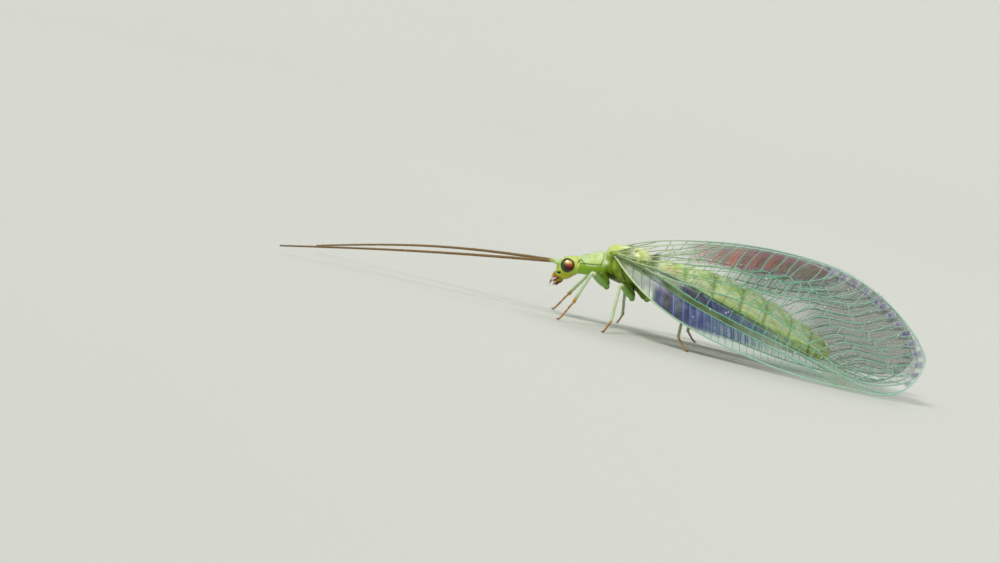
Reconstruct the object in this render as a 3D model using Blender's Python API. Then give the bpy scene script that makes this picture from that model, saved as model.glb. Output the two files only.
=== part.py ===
"""A green lacewing at rest, life size: slim green body, roof of four wings, long feelers held forward.

The insect looks along -X and stands on the plane z = 0. Its left side is at -Y. Lengths below are in
millimetres, measured from the root of the forewing: x towards the tail and z above the floor.
"""

import math

import bmesh
import bpy
from mathutils import Vector

MM = 0.001
CUT = 0.06  # width of the thin cuts that part the body
SIDES = {"left": -1, "right": 1}

# Forewing and hindwing
WING_ROOT_Z = 3.18
WING_DROOP = math.radians(5.4)  # the wing's long axis falls this much towards its tip
FORE_LENGTH = 13.9
FORE_COSTAL = 2.32  # from the long axis to the lower, front margin
FORE_HIND = 2.44  # from the long axis to the upper, hind margin
HIND_LENGTH = 12.2
HIND_ROOT_U = 1.28
HIND_COSTAL = 1.55
HIND_HIND = 2.26
WING_THICK = 0.5
WING_GAP = 0.60  # between the middle planes of the forewing and the hindwing
ROOF_SLOPE = 0.40  # how far the wing spreads sideways for each millimetre down it

# Legs and feelers
LEG_RADIUS = 0.25
COXA_RADIUS = 0.29
FEELER_RADIUS = 0.25
FEELER_START = (-2.40, 0.28, 2.25)
SCAPE_FOOT = (-1.95, 0.27, 2.21)
SCAPE_TIP = (-2.28, 0.28, 2.25)
SCAPE_RADIUS = 0.24
SOLE_Z = 0.2  # height of the foot's middle line, so that its sole is a small flat on the floor

# Body
ABDOMEN_START = 1.78
RING_LENGTHS = (1.46, 1.29, 1.29, 1.10, 1.20, 0.96, 0.60, 0.40)  # from the thorax to the tail
EYE_CENTRE = (-1.75, 0.47, 2.24)
EYE_RADII = (0.30, 0.25, 0.31)
SOCKET_GAP = 0.03  # between the eye and the head around it
HEAD_SLICE_POINTS = 20
BODY_SLICE_POINTS = 16
THORAX_SLICE_POINTS = 18
LIMB_SIDES = 10

COLOURS = {
    "head": (0.42, 0.55, 0.10),
    "eye": (0.30, 0.07, 0.02),
    "feeler": (0.42, 0.25, 0.13),
    "mouth": (0.45, 0.26, 0.07),
    "thorax": (0.30, 0.52, 0.14),
    "abdomen": (0.50, 0.62, 0.28),
    "wing": (0.45, 0.62, 0.50),
    "leg": (0.24, 0.48, 0.20),
    "foot": (0.42, 0.28, 0.12),
}


def material_of(name, roughness=0.45):
    """One Principled material for each kind of part."""
    made = bpy.data.materials.get(name)
    if made is None:
        made = bpy.data.materials.new(name)
        made.use_nodes = True
        shader = made.node_tree.nodes["Principled BSDF"]
        shader.inputs["Base Color"].default_value = (*COLOURS[name], 1)
        shader.inputs["Roughness"].default_value = roughness
        shader.inputs["Metallic"].default_value = 0.0
    return made


def place(name, data, kind, holder):
    """Links an object under the holder, smooth shaded, with its kind's material."""
    made = bpy.data.objects.new(name, data)
    bpy.context.scene.collection.objects.link(made)
    made.parent = holder
    data.materials.append(material_of(kind))
    if made.type == "MESH":
        data.shade_smooth()
        data.set_sharp_from_angle(angle=math.radians(40))
    return made


def mesh_from(shape, name):
    bmesh.ops.recalc_face_normals(shape, faces=shape.faces)
    data = bpy.data.meshes.new(name)
    shape.to_mesh(data)
    shape.free()
    return data


def loft(loops):
    """A closed skin over loops with equal numbers of points, with a flat face at each end."""
    shape = bmesh.new()
    rings = [[shape.verts.new(Vector(point) * MM) for point in loop] for loop in loops]
    count = len(rings[0])
    for near, far in zip(rings, rings[1:]):
        for i in range(count):
            j = (i + 1) % count
            shape.faces.new((near[i], near[j], far[j], far[i]))
    shape.faces.new(rings[0])
    shape.faces.new(rings[-1])
    return shape


def turns_of(count):
    """Angles evenly round a circle."""
    return [2 * math.pi * i / count for i in range(count)]


def oval(x, z, half_width, half_height, count, lean=0.0):
    """A cross-section of the body with its top at x, set back by lean for each unit further down."""
    return [
        (
            x + lean * half_height * (1 - math.sin(turn)),
            half_width * math.cos(turn),
            z + half_height * math.sin(turn),
        )
        for turn in turns_of(count)
    ]


def ease(value):
    """0 below 0, 1 above 1, and a smooth rise between."""
    value = min(max(value, 0.0), 1.0)
    return value * value * (3 - 2 * value)


def make_empty():
    holder = bpy.data.objects.new("lacewing", None)
    bpy.context.scene.collection.objects.link(holder)
    return holder


# Head


def head_loft(grow=0.0):
    """Level slices of the head from its lower edge to the crown: z, middle x, half length, half width.

    The lowest and the highest slice also move out by grow.
    """
    slices = [
        (1.58, -1.84, 0.24, 0.26),
        (1.74, -1.81, 0.37, 0.40),
        (1.92, -1.77, 0.42, 0.49),
        (2.12, -1.73, 0.43, 0.54),
        (2.32, -1.69, 0.41, 0.53),
        (2.48, -1.62, 0.34, 0.45),
        (2.60, -1.54, 0.22, 0.30),
        (2.66, -1.49, 0.09, 0.14),
    ]
    lowest, highest = slices[0][0], slices[-1][0]
    loops = []
    for height, middle, half_length, half_width in slices:
        rise = {lowest: -grow, highest: grow}.get(height, 0.0)
        loops.append(
            [
                (
                    middle + (half_length + grow) * math.cos(turn),
                    (half_width + grow) * math.sin(turn),
                    height + rise,
                )
                for turn in turns_of(HEAD_SLICE_POINTS)
            ]
        )
    return loft(loops)


def ellipsoid(centre, radii, across=18, rows=12):
    shape = bmesh.new()
    bmesh.ops.create_uvsphere(shape, u_segments=across, v_segments=rows, radius=1.0)
    bmesh.ops.scale(shape, vec=Vector(radii) * MM, verts=shape.verts)
    bmesh.ops.translate(shape, vec=Vector(centre) * MM, verts=shape.verts)
    return shape


def cutter_from(shape, name, holder):
    """A hidden solid that only cuts."""
    made = bpy.data.objects.new(name, mesh_from(shape, name))
    bpy.context.scene.collection.objects.link(made)
    made.parent = holder
    made.hide_render = True
    made.display_type = "WIRE"
    return made


def cut(target, cutter):
    step = target.modifiers.new("cut by " + cutter.name, "BOOLEAN")
    step.operation = "DIFFERENCE"
    step.solver = "EXACT"
    step.object = cutter


def make_head(holder):
    head = place("head", mesh_from(head_loft(), "head"), "head", holder)
    for side, sign in SIDES.items():
        centre = (EYE_CENTRE[0], sign * EYE_CENTRE[1], EYE_CENTRE[2])
        eye = ellipsoid(centre, EYE_RADII)
        place("eye_" + side, mesh_from(eye, "eye_" + side), "eye", holder)
        socket = ellipsoid(centre, [radius + SOCKET_GAP for radius in EYE_RADII])
        cut(head, cutter_from(socket, "socket_" + side, holder))


def make_mouthparts(holder):
    """Jaws and palps as one small block that narrows and leans forward as it hangs down."""
    top, bottom, steps, sides = 1.52, 1.13, 5, 12
    loops = []
    for i in range(steps + 1):
        down = i / steps
        loops.append(
            [
                (
                    -1.98 - 0.24 * down + (0.37 - 0.24 * down) * math.cos(turn),
                    (0.28 - 0.13 * down**2) * math.sin(turn),
                    top + (bottom - top) * down,
                )
                for turn in turns_of(sides)
            ]
        )
    place("mouthparts", mesh_from(loft(loops), "mouthparts"), "mouth", holder)


# Feelers, each a long gentle curve: forward, spreading outwards and falling towards the floor

FEELERS = {
    "left": {"reach": 11.35, "spread": 1.75, "fall": 1.93, "wave": 0.10},
    "right": {"reach": 10.10, "spread": 1.75, "fall": 1.93, "wave": 0.28},
}


def feeler_path(side, count=30):
    """x runs forward evenly; y spreads with a slight outward bow; z falls with a small wave."""
    sizes, sign = FEELERS[side], SIDES[side]
    for i in range(count + 1):
        along = i / count
        yield (
            FEELER_START[0] - sizes["reach"] * along,
            sign * (FEELER_START[1] + sizes["spread"] * along**0.9),
            FEELER_START[2] - sizes["fall"] * along + sizes["wave"] * math.sin(math.pi * along),
        )


def make_feelers(holder):
    for side, sign in SIDES.items():
        foot, tip = (Vector((x, sign * y, z)) for x, y, z in (SCAPE_FOOT, SCAPE_TIP))
        base = capsule(foot, tip, SCAPE_RADIUS, SCAPE_RADIUS)
        start = Vector(FEELER_START) * MM
        slice_off(base, start + Vector((CUT, 0, 0)) * MM, Vector((-1, 0, 0)))
        node = place("scape_" + side, mesh_from(base, "scape_" + side), "head", holder)
        cut(node, bpy.data.objects["head_clearance"])
        cut(node, bpy.data.objects["eye_clearance_" + side])
        wire = bpy.data.curves.new("antenna_" + side, "CURVE")
        wire.dimensions = "3D"
        wire.bevel_depth = FEELER_RADIUS * MM
        wire.bevel_resolution = 2
        wire.use_fill_caps = True
        points = list(feeler_path(side))
        spline = wire.splines.new("POLY")
        spline.points.add(len(points) - 1)
        for point, (x, y, z) in zip(spline.points, points):
            point.co = (x * MM, y * MM, z * MM, 1)
        place("antenna_" + side, wire, "feeler", holder)


# Thorax


def thorax_table():
    """Sections along the thorax: x of the back, height of the underside and back, half width, lean."""
    return {
        "prothorax": [
            (-1.25, 2.00, 2.68, 0.36, 0.10),
            (-1.08, 2.00, 2.84, 0.46, 0.08),
            (-0.80, 2.02, 3.00, 0.53, 0.10),
            (-0.50, 2.04, 3.15, 0.56, 0.16),
            (-0.31, 2.08, 3.12, 0.55, 0.22),
        ],
        "mesothorax": [
            (-0.24, 2.06, 3.32, 0.60, 0.28),
            (-0.06, 1.97, 3.52, 0.80, 0.32),
            (0.22, 1.88, 3.59, 0.90, 0.36),
            (0.52, 1.80, 3.60, 0.92, 0.38),
            (0.78, 1.74, 3.61, 0.88, 0.40),
        ],
        "metathorax": [
            (0.85, 1.72, 3.59, 0.84, 0.40),
            (1.05, 1.68, 3.67, 0.79, 0.38),
            (1.28, 1.68, 3.63, 0.72, 0.34),
            (1.50, 1.78, 3.52, 0.62, 0.26),
            (1.70, 1.96, 3.38, 0.52, 0.12),
        ],
    }


def thorax_loft(rows, grow=0.0):
    loops = []
    for x, low, high, half_width, lean in rows:
        middle, half_height = (low + high) / 2, (high - low) / 2 + grow
        loops.append(oval(x, middle, half_width + grow, half_height, THORAX_SLICE_POINTS, lean))
    return loft(loops)


def make_thorax(holder):
    for name, rows in thorax_table().items():
        place(name, mesh_from(thorax_loft(rows), name), "thorax", holder)
        cutter_from(thorax_loft(rows, CUT), name + "_clearance", holder)


# Abdomen


def abdomen_middle(x):
    """Height of the middle line: it falls faster towards the tail."""
    back = x - 1.8
    sag = 0.1 * math.exp(-(((back - 5.6) / 1.5) ** 2))
    return 2.83 - 0.11 * back - 0.014 * back**2 - sag + 0.05 * ease((x - 8) / 1.5)


def abdomen_half_height(x, along_ring):
    """Half its height: it swells to the middle and tapers to a blunt tail, with a bulge on each ring."""
    along = (x - 1.8) / 8.25
    if along < 0.45:
        plain = 0.50 + 0.49 * math.sin(math.pi / 2 * along / 0.45)
    else:
        plain = 0.99 - 2.15 * (along - 0.45) ** 2
    tail = math.sqrt(max(0.0, 1 - max(0.0, (x - 9.5) / 0.66) ** 2))
    return (plain - 0.04 + 0.04 * math.sin(math.pi * along_ring)) * max(tail, 0.35)


def abdomen_section(x, along_ring):
    half_height = abdomen_half_height(x, along_ring)
    narrow = 0.87 - 0.07 * ease((x - 2.5) / 3)
    lean = 0.12
    return oval(
        x, abdomen_middle(x), narrow * half_height, half_height, BODY_SLICE_POINTS, lean
    )


def make_abdomen(holder):
    """Three lengths, parted between rings."""
    lengths = {"abdomen_front": (0, 3), "abdomen_middle": (3, 5), "abdomen_tip": (5, 8)}
    steps = 4  # sections along each ring
    edges = [ABDOMEN_START + sum(RING_LENGTHS[:i]) for i in range(len(RING_LENGTHS) + 1)]
    for name, (first, last) in lengths.items():
        loops = []
        for ring in range(first, last):
            start, stop = edges[ring], edges[ring + 1]
            if ring == last - 1 and last < len(RING_LENGTHS):
                stop -= CUT
            for i in range(steps if ring < last - 1 else steps + 1):
                loops.append(abdomen_section(start + (stop - start) * i / steps, i / steps))
        place(name, mesh_from(loft(loops), name), "abdomen", holder)


# Wings


def fore_costal(t):
    """Distance of the front margin from the long axis: a quick rise, then nearly straight to the tip."""
    rise = (1 - math.exp(-t / 0.18)) * (0.90 + 0.13 * t)
    return 0.12 + (FORE_COSTAL - 0.12) * rise * math.sqrt(max(0.0, 1 - t**10))


def fore_hind(t):
    """Distance of the hind margin: a quarter sine out to the widest place, then a rounded fall."""
    if t < 0.64:
        swell = math.sin(math.pi / 2 * (t / 0.64) ** 0.85)
    else:
        swell = math.cos(math.pi / 2 * (t - 0.64) / 0.36) ** 0.75
    return 0.12 + (FORE_HIND - 0.12) * swell


def hind_costal(t):
    rise = math.sin(math.pi / 2 * min(t / 0.7, 1.0)) ** 1.3
    return 0.10 + (HIND_COSTAL - 0.10) * rise * math.sqrt(max(0.0, 1 - t**9))


def hind_hind(t):
    if t < 0.55:
        swell = math.sin(math.pi / 2 * (t / 0.55) ** 0.85)
    else:
        swell = math.cos(math.pi / 2 * (t - 0.55) / 0.45) ** 0.80
    return 0.10 + (HIND_HIND - 0.10) * swell


def wing_point(u, v, sign, inward=0.0):
    """A place on the wing roof: u along the long axis, v from it towards the front margin."""
    spread = 1.26 + 0.70 * ease(u / 2.2) - 0.30 * ease((u - 8) / 6) + ROOF_SLOPE * v - inward
    return (
        u * math.cos(WING_DROOP) - v * math.sin(WING_DROOP),
        sign * spread,
        WING_ROOT_Z - u * math.sin(WING_DROOP) - v * math.cos(WING_DROOP),
    )


def wing_sheet(start, length, costal, hind, sign, inward, turn):
    """A grid over the wing between its two margins, with rows close together at both ends."""
    rows, across = 26, 6
    shape = bmesh.new()
    grid = []
    for i in range(rows + 1):
        t = 0.995 * (0.5 - 0.5 * math.cos(math.pi * i / rows)) ** 0.9
        front, back = costal(t), -hind(t)
        line = []
        for j in range(across + 1):
            v = back + (front - back) * j / across + turn * t * length
            line.append(shape.verts.new(Vector(wing_point(start + t * length, v, sign, inward)) * MM))
        grid.append(line)
    for near, far in zip(grid, grid[1:]):
        for j in range(across):
            shape.faces.new((near[j], near[j + 1], far[j + 1], far[j]))
    return shape


def make_wings(holder):
    floor_size = 60  # wider than the insect, with its top face on the floor
    floor = bmesh.new()
    bmesh.ops.create_cube(floor, size=floor_size * MM)
    bmesh.ops.translate(floor, vec=(0, 0, -floor_size / 2 * MM), verts=floor.verts)
    floor = cutter_from(floor, "floor_clearance", holder)
    for side, sign in SIDES.items():
        fore = wing_sheet(0, FORE_LENGTH, fore_costal, fore_hind, sign, 0.0, 0.0)
        hind = wing_sheet(HIND_ROOT_U, HIND_LENGTH, hind_costal, hind_hind, sign, WING_GAP, 0.02)
        for name, sheet in (("forewing_" + side, fore), ("hindwing_" + side, hind)):
            wing = place(name, mesh_from(sheet, name), "wing", holder)
            wall = wing.modifiers.new("thickness", "SOLIDIFY")
            wall.thickness = WING_THICK * MM
            wall.offset = 0.0
            if name.startswith("fore"):
                cut(wing, floor)


# Legs, each a chain of five places: hip, trochanter, knee, ankle and toe

LEGS = {
    "front_left": [
        (-0.28, -0.34, 2.20),
        (0.10, -0.46, 1.72),
        (-0.67, -1.32, 2.24),
        (-1.17, -1.72, 0.84),
        (-1.62, -1.98, SOLE_Z),
    ],
    "front_right": [
        (-0.28, 0.34, 2.20),
        (0.10, 0.46, 1.72),
        (-0.62, 1.25, 2.06),
        (-1.38, 1.62, 0.84),
        (-1.86, 2.00, SOLE_Z),
    ],
    "middle_left": [
        (0.86, -0.42, 2.02),
        (1.26, -0.62, 1.50),
        (0.60, -1.62, 2.06),
        (0.53, -2.34, 0.45),
        (0.28, -2.92, SOLE_Z),
    ],
    "middle_right": [
        (0.86, 0.42, 2.02),
        (1.26, 0.62, 1.50),
        (0.92, 1.58, 2.00),
        (1.16, 2.34, 0.45),
        (1.02, 2.92, SOLE_Z),
    ],
    "hind_left": [
        (1.50, -0.36, 1.98),
        (1.84, -0.50, 1.60),
        (3.41, -0.95, 2.40),
        (3.46, -1.90, 0.45),
        (3.92, -2.40, SOLE_Z),
    ],
    "hind_right": [
        (1.50, 0.36, 1.98),
        (1.84, 0.50, 1.60),
        (3.80, 0.97, 2.35),
        (4.06, 1.90, 0.45),
        (4.50, 2.40, SOLE_Z),
    ],
}
LEG_PARTS = ("coxa", "femur", "tibia", "tarsus")
BESIDE_COXA = {
    "front": ("prothorax", "mesothorax"),
    "middle": ("mesothorax", "metathorax"),
    "hind": ("mesothorax", "metathorax"),
}


def capsule(start, stop, start_radius, stop_radius, rows=3):
    """A straight limb with a half ball at each end, whose poles are small flats."""
    pole_radius = 0.03
    along = (stop - start).normalized()
    across = along.orthogonal().normalized()
    up = along.cross(across)
    tilts = [math.pi / 2 * (1 - i / (rows + 0.4)) for i in range(rows + 1)]
    rings = []
    for tilt in tilts:
        rings.append((start - along * start_radius * math.sin(tilt), start_radius * math.cos(tilt)))
    for tilt in reversed(tilts):
        rings.append((stop + along * stop_radius * math.sin(tilt), stop_radius * math.cos(tilt)))
    loops = []
    for centre, radius in rings:
        radius = max(radius, pole_radius)
        turns = (turn + math.pi / LIMB_SIDES for turn in turns_of(LIMB_SIDES))
        loops.append([centre + (across * math.cos(a) + up * math.sin(a)) * radius for a in turns])
    return loft(loops)


def slice_off(shape, point, away):
    """Removes what lies past a plane, on the side that away points to, and closes the cut."""
    everything = shape.verts[:] + shape.edges[:] + shape.faces[:]
    cut_edges = bmesh.ops.bisect_plane(
        shape, geom=everything, dist=1e-8, plane_co=point, plane_no=away, clear_outer=True
    )["geom_cut"]
    bmesh.ops.contextual_create(shape, geom=[e for e in cut_edges if isinstance(e, bmesh.types.BMEdge)])


def joint_plane(before, middle, after):
    """The plane that halves the bend of a chain at its middle point."""
    return ((middle - before).normalized() + (after - middle).normalized()).normalized()


def make_legs(holder):
    for leg, places in LEGS.items():
        chain = [Vector(place_of) for place_of in places]
        pair = leg.split("_")[0]
        for i, part in enumerate(LEG_PARTS):
            radii = (COXA_RADIUS, LEG_RADIUS) if part == "coxa" else (LEG_RADIUS, LEG_RADIUS)
            limb = capsule(chain[i], chain[i + 1], *radii)
            if i > 0:
                away = joint_plane(chain[i - 1], chain[i], chain[i + 1])
                slice_off(limb, (chain[i] + away * CUT / 2) * MM, -away)
            if i < 3:
                away = joint_plane(chain[i], chain[i + 1], chain[i + 2])
                slice_off(limb, (chain[i + 1] - away * CUT / 2) * MM, away)
            if part == "tarsus":
                slice_off(limb, Vector((0, 0, 0)), Vector((0, 0, -1)))
            name = f"{leg}_{part}"
            node = place(name, mesh_from(limb, name), "foot" if part == "tarsus" else "leg", holder)
            if part == "coxa":
                for trunk in BESIDE_COXA[pair]:
                    cut(node, bpy.data.objects[trunk + "_clearance"])


def centre_on_floor(holder):
    """Moves everything so that the origin is under the middle of its box, on the floor."""
    bpy.context.view_layer.update()
    graph = bpy.context.evaluated_depsgraph_get()
    points = []
    for made in bpy.context.scene.objects:
        if made.type == "EMPTY" or made.hide_render:
            continue
        solid = made.evaluated_get(graph)
        points += [solid.matrix_world @ corner.co for corner in solid.to_mesh().vertices]
        solid.to_mesh_clear()
    low = [min(point[i] for point in points) for i in range(3)]
    high = [max(point[i] for point in points) for i in range(3)]
    holder.location = (-(low[0] + high[0]) / 2, -(low[1] + high[1]) / 2, 0)


def main():
    for old in list(bpy.data.objects):
        bpy.data.objects.remove(old, do_unlink=True)
    holder = make_empty()
    cutter_from(head_loft(CUT), "head_clearance", holder)
    for side, sign in SIDES.items():
        around = ellipsoid(
            (EYE_CENTRE[0], sign * EYE_CENTRE[1], EYE_CENTRE[2]), [r + CUT for r in EYE_RADII]
        )
        cutter_from(around, "eye_clearance_" + side, holder)
    make_head(holder)
    make_mouthparts(holder)
    make_feelers(holder)
    make_thorax(holder)
    make_abdomen(holder)
    make_wings(holder)
    make_legs(holder)
    centre_on_floor(holder)


main()
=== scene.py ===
# Green lacewing at rest on a pale studio floor.
# Shapes are worked out in millimetres from the root of the forewing: x towards the tail, y to the
# insect's right, z up from the floor. Each piece is moved into the frame, in metres, as it is made.
import math

import bpy
import numpy as np
from mathutils import Matrix, Vector


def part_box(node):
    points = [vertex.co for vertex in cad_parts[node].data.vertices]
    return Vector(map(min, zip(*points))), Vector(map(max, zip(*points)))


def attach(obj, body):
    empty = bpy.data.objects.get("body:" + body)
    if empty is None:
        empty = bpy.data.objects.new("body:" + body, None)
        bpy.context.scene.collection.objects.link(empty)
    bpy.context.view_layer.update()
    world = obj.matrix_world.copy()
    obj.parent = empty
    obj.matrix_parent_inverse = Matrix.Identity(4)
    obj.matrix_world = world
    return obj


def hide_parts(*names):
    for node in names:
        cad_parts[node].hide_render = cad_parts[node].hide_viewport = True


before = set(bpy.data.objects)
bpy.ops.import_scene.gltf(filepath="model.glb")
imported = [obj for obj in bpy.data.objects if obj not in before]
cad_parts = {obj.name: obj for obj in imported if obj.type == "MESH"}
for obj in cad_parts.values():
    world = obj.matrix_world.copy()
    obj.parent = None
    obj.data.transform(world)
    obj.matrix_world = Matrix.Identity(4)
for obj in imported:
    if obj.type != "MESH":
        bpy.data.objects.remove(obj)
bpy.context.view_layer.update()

mm = 0.001
sides = {"left": -1, "right": 1}
eyePlace = {"x": -1.75, "y": 0.47, "z": 2.24}
eyeCorners = np.array([list(corner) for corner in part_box("eye_left")]) / mm
shift = eyeCorners.mean(0) - [eyePlace["x"], -eyePlace["y"], eyePlace["z"]]
chance = np.random.default_rng(7)


# Small shape tools

def ease(value):  # 0 below 0, 1 above 1, smooth between
    value = np.clip(value, 0, 1)
    return value * value * (3 - 2 * value)


def hump(value):  # bell curve: 1 at 0, nearly nothing past 2
    return np.exp(-value * value)


def unit(vectors):  # each vector divided by its length
    return vectors / np.maximum(np.linalg.norm(vectors, axis=-1, keepdims=True), 1e-12)


def paint(red, green, blue):  # a screen colour, 0 to 255, as the light it stands for
    return (np.array([red, green, blue]) / 255) ** 2.2


def blendTo(colours, other, share):  # colours moved towards another by a share for each point
    return colours + (other - colours) * np.clip(share, 0, 1)[..., None]


def plain(colour, like):  # one colour at every point of a grid like the given one
    return np.broadcast_to(colour, np.shape(like) + (3,))


def painted(tint, colours, layers):  # named colours laid one over another, each by its share
    for name, share in layers:
        tint = blendTo(tint, colours[name], share)
    return tint


def smoothThrough(x, xs, ys):
    # cubic pieces through the stations; each slope is the harmonic mean of those beside it, so
    # the curve never swings past a station
    xs, ys = np.asarray(xs, float), np.asarray(ys, float)
    gaps = np.diff(xs)
    slopes = np.diff(ys) / gaps
    product = slopes[1:] * slopes[:-1]
    total = np.where(product > 0, slopes[1:] + slopes[:-1], 1)
    inner = np.where(product > 0, 2 * product / total, 0)
    slope = np.concatenate([slopes[:1], inner, slopes[-1:]])
    i = np.clip(np.searchsorted(xs, x, side="right") - 1, 0, len(xs) - 2)
    t = (x - xs[i]) / gaps[i]
    return (
        (1 + 2 * t) * (1 - t) ** 2 * ys[i]
        + t * t * (3 - 2 * t) * ys[i + 1]
        + gaps[i] * t * (1 - t) * ((1 - t) * slope[i] - t * slope[i + 1])
    )


def curveThrough(places, count):
    # a smooth path through a few places, evenly stepped by the length of the straight lines
    places = np.asarray(places, float)
    steps = np.linalg.norm(np.diff(places, axis=0), axis=1)
    along = np.concatenate([[0], np.cumsum(steps)])
    t = np.linspace(0, along[-1], count)
    return np.stack([smoothThrough(t, along, places[:, k]) for k in range(places.shape[1])], -1)


def atLength(path, share):  # the places at shares of a path's own length
    along = np.concatenate([[0], np.cumsum(np.linalg.norm(np.diff(path, axis=0), axis=1))])
    t = np.asarray(share, float) * along[-1]
    return np.stack([np.interp(t, along, path[:, k]) for k in range(path.shape[1])], -1)


def gridFaces(rows, columns, wrap):  # four-cornered faces between neighbours of a grid
    i = np.arange(rows - 1)[:, None] * columns
    j = np.arange(columns if wrap else columns - 1)[None, :]
    k = (j + 1) % columns
    return np.stack([i + j, i + k, i + columns + k, i + columns + j], -1).reshape(-1, 4)


def closedRings(rings):
    # a grid of rings, closed by a fan to the middle of its first and of its last ring
    rows, columns = rings.shape[:2]
    points = np.concatenate([rings.reshape(-1, 3), rings[0].mean(0)[None], rings[-1].mean(0)[None]])
    j = np.arange(columns)
    k = (j + 1) % columns
    start, last = rows * columns, (rows - 1) * columns
    front = np.stack([k, j, np.full(columns, start)], -1)
    back = np.stack([last + j, last + k, np.full(columns, start + 1)], -1)
    return points, [gridFaces(rows, columns, True), np.concatenate([front, back])]


def tube(path, radius, corners, across):
    # rings of the given radius round a path; across is the direction that the first corner faces
    path = np.asarray(path, float)
    along = unit(np.gradient(path, axis=0))
    side = unit(np.cross(along, np.broadcast_to(across, path.shape)))
    up = np.cross(side, along)
    turn = np.linspace(0, 2 * math.pi, corners, endpoint=False)[None, :, None]
    radius = np.broadcast_to(radius, len(path))[:, None, None]
    return closedRings(path[:, None] + radius * (up[:, None] * np.cos(turn) + side[:, None] * np.sin(turn)))


def ringTint(tint, corners=1):
    # colours for the points of closed rings: a whole grid of them, or one for each ring
    flat = np.repeat(tint.reshape(-1, 3), corners, 0)
    return np.concatenate([flat, flat[:1], flat[-1:]])


class Heap:
    # gathers closed shapes that become one mesh, each with its faces turned outwards
    def __init__(self):
        self.points, self.faces, self.values, self.count = [], {}, {}, 0

    def add(self, shape, **values):
        points, faces = shape
        volume = sum(
            np.einsum("ij,ij->", points[f[:, 0]], np.cross(points[f[:, k]], points[f[:, k + 1]]))
            for f in faces
            for k in range(1, f.shape[1] - 1)
        )
        for f in faces:
            turned = f[:, ::-1] if volume < 0 else f
            self.faces.setdefault(f.shape[1], []).append(turned + self.count)
        self.points.append(points)
        for name, value in values.items():
            value = np.asarray(value, float)
            if value.shape[:1] != (len(points),):
                value = np.broadcast_to(value, (len(points),) + value.shape)
            self.values.setdefault(name, []).append(value)
        self.count += len(points)

    def piece(self, name, finish, slotName, stands=()):
        # tint becomes a colour for each point, bake the map OFBake, any other value a number
        points = np.concatenate(self.points)
        groups = [np.concatenate(f) for f in self.faces.values()]
        corners = np.concatenate([f.ravel() for f in groups])
        sizes = np.concatenate([np.full(len(f), f.shape[1]) for f in groups])
        mesh = bpy.data.meshes.new(name)
        mesh.vertices.add(len(points))
        mesh.vertices.foreach_set("co", ((points + shift) * mm).astype(np.float32).ravel())
        mesh.loops.add(len(corners))
        mesh.loops.foreach_set("vertex_index", corners.astype(np.int32))
        mesh.polygons.add(len(sizes))
        starts = np.concatenate([[0], np.cumsum(sizes)[:-1]])
        mesh.polygons.foreach_set("loop_start", starts.astype(np.int32))
        mesh.update(calc_edges=True)
        mesh.shade_smooth()
        for label, parts in self.values.items():
            value = np.concatenate(parts)
            if label == "tint":
                layer = mesh.attributes.new("tint", "FLOAT_COLOR", "POINT")
                colour = np.concatenate([value, np.ones((len(value), 1))], 1)
                layer.data.foreach_set("color", colour.astype(np.float32).ravel())
            elif label == "bake":
                layer = mesh.uv_layers.new(name="OFBake")
                layer.data.foreach_set("uv", value[corners].astype(np.float32).ravel())
            else:
                layer = mesh.attributes.new(label, "FLOAT", "POINT")
                layer.data.foreach_set("value", value.astype(np.float32))
        mesh.materials.append(finish)
        made = bpy.data.objects.new(name, mesh)
        bpy.context.scene.collection.objects.link(made)
        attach(made, "root")
        if stands:
            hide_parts(*stands)
        triangles = int(sum(len(f) * (f.shape[1] - 2) for f in groups))
        print(f"  {name}: {triangles} triangles")
        return made


hairShape = {  # shares of a hair's length, its thickness there, and its patch of the bake map
    "levels": np.array([0.0, 0.4, 0.75, 1.0]),
    "swell": np.array([1.0, 0.8, 0.45, 0.06]),
    "corners": 3,
    "patch": 0.003,
}
hairPoints = len(hairShape["levels"]) * hairShape["corners"]


def bristles(roots, ways, bends, lengths, radius, bake):
    # thin three-sided hairs, all at once: a place t along one is root + way t + bend t squared,
    # and its thickness falls with t; its patch of the bake map lies round its own root's place
    levels, corners = hairShape["levels"], hairShape["corners"]
    side = unit(np.cross(ways, ways[:, [1, 2, 0]] + [0.3, 0.1, 0.2]))
    other = unit(np.cross(ways, side))
    t = levels[None, :, None] * lengths[:, None, None]
    line = roots[:, None] + ways[:, None] * t + bends[:, None] * t * levels[None, :, None]
    turn = (np.arange(corners) * 2 * math.pi / corners)[None, :, None]
    ring = side[:, None] * np.cos(turn) + other[:, None] * np.sin(turn)
    thick = np.broadcast_to(radius, len(roots))[:, None, None, None]
    thick = thick * hairShape["swell"][None, :, None, None]
    points = (line[:, :, None, :] + ring[:, None] * thick).reshape(-1, 3)
    start = np.arange(len(roots))[:, None, None] * hairPoints
    caps = np.array([[2, 1, 0], [hairPoints - 3, hairPoints - 2, hairPoints - 1]])
    patch = np.stack(np.broadcast_arrays(levels[:, None] - 0.5, np.arange(corners)[None] / 2 - 0.5), -1)
    spots = bake[:, None, None] + hairShape["patch"] * patch[None]
    faces = [(start + gridFaces(len(levels), corners, True)).reshape(-1, 4), (start + caps).reshape(-1, 3)]
    return (points, faces), spots.reshape(-1, 2)


def hairPiece(name, shape, tint, spots, slotName, stands):  # hairs of one colour as one piece
    heap = Heap()
    heap.add(shape, tint=tint, bake=spots)
    heap.piece(name, hairFinish, slotName, stands)


# Shader maths

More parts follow.
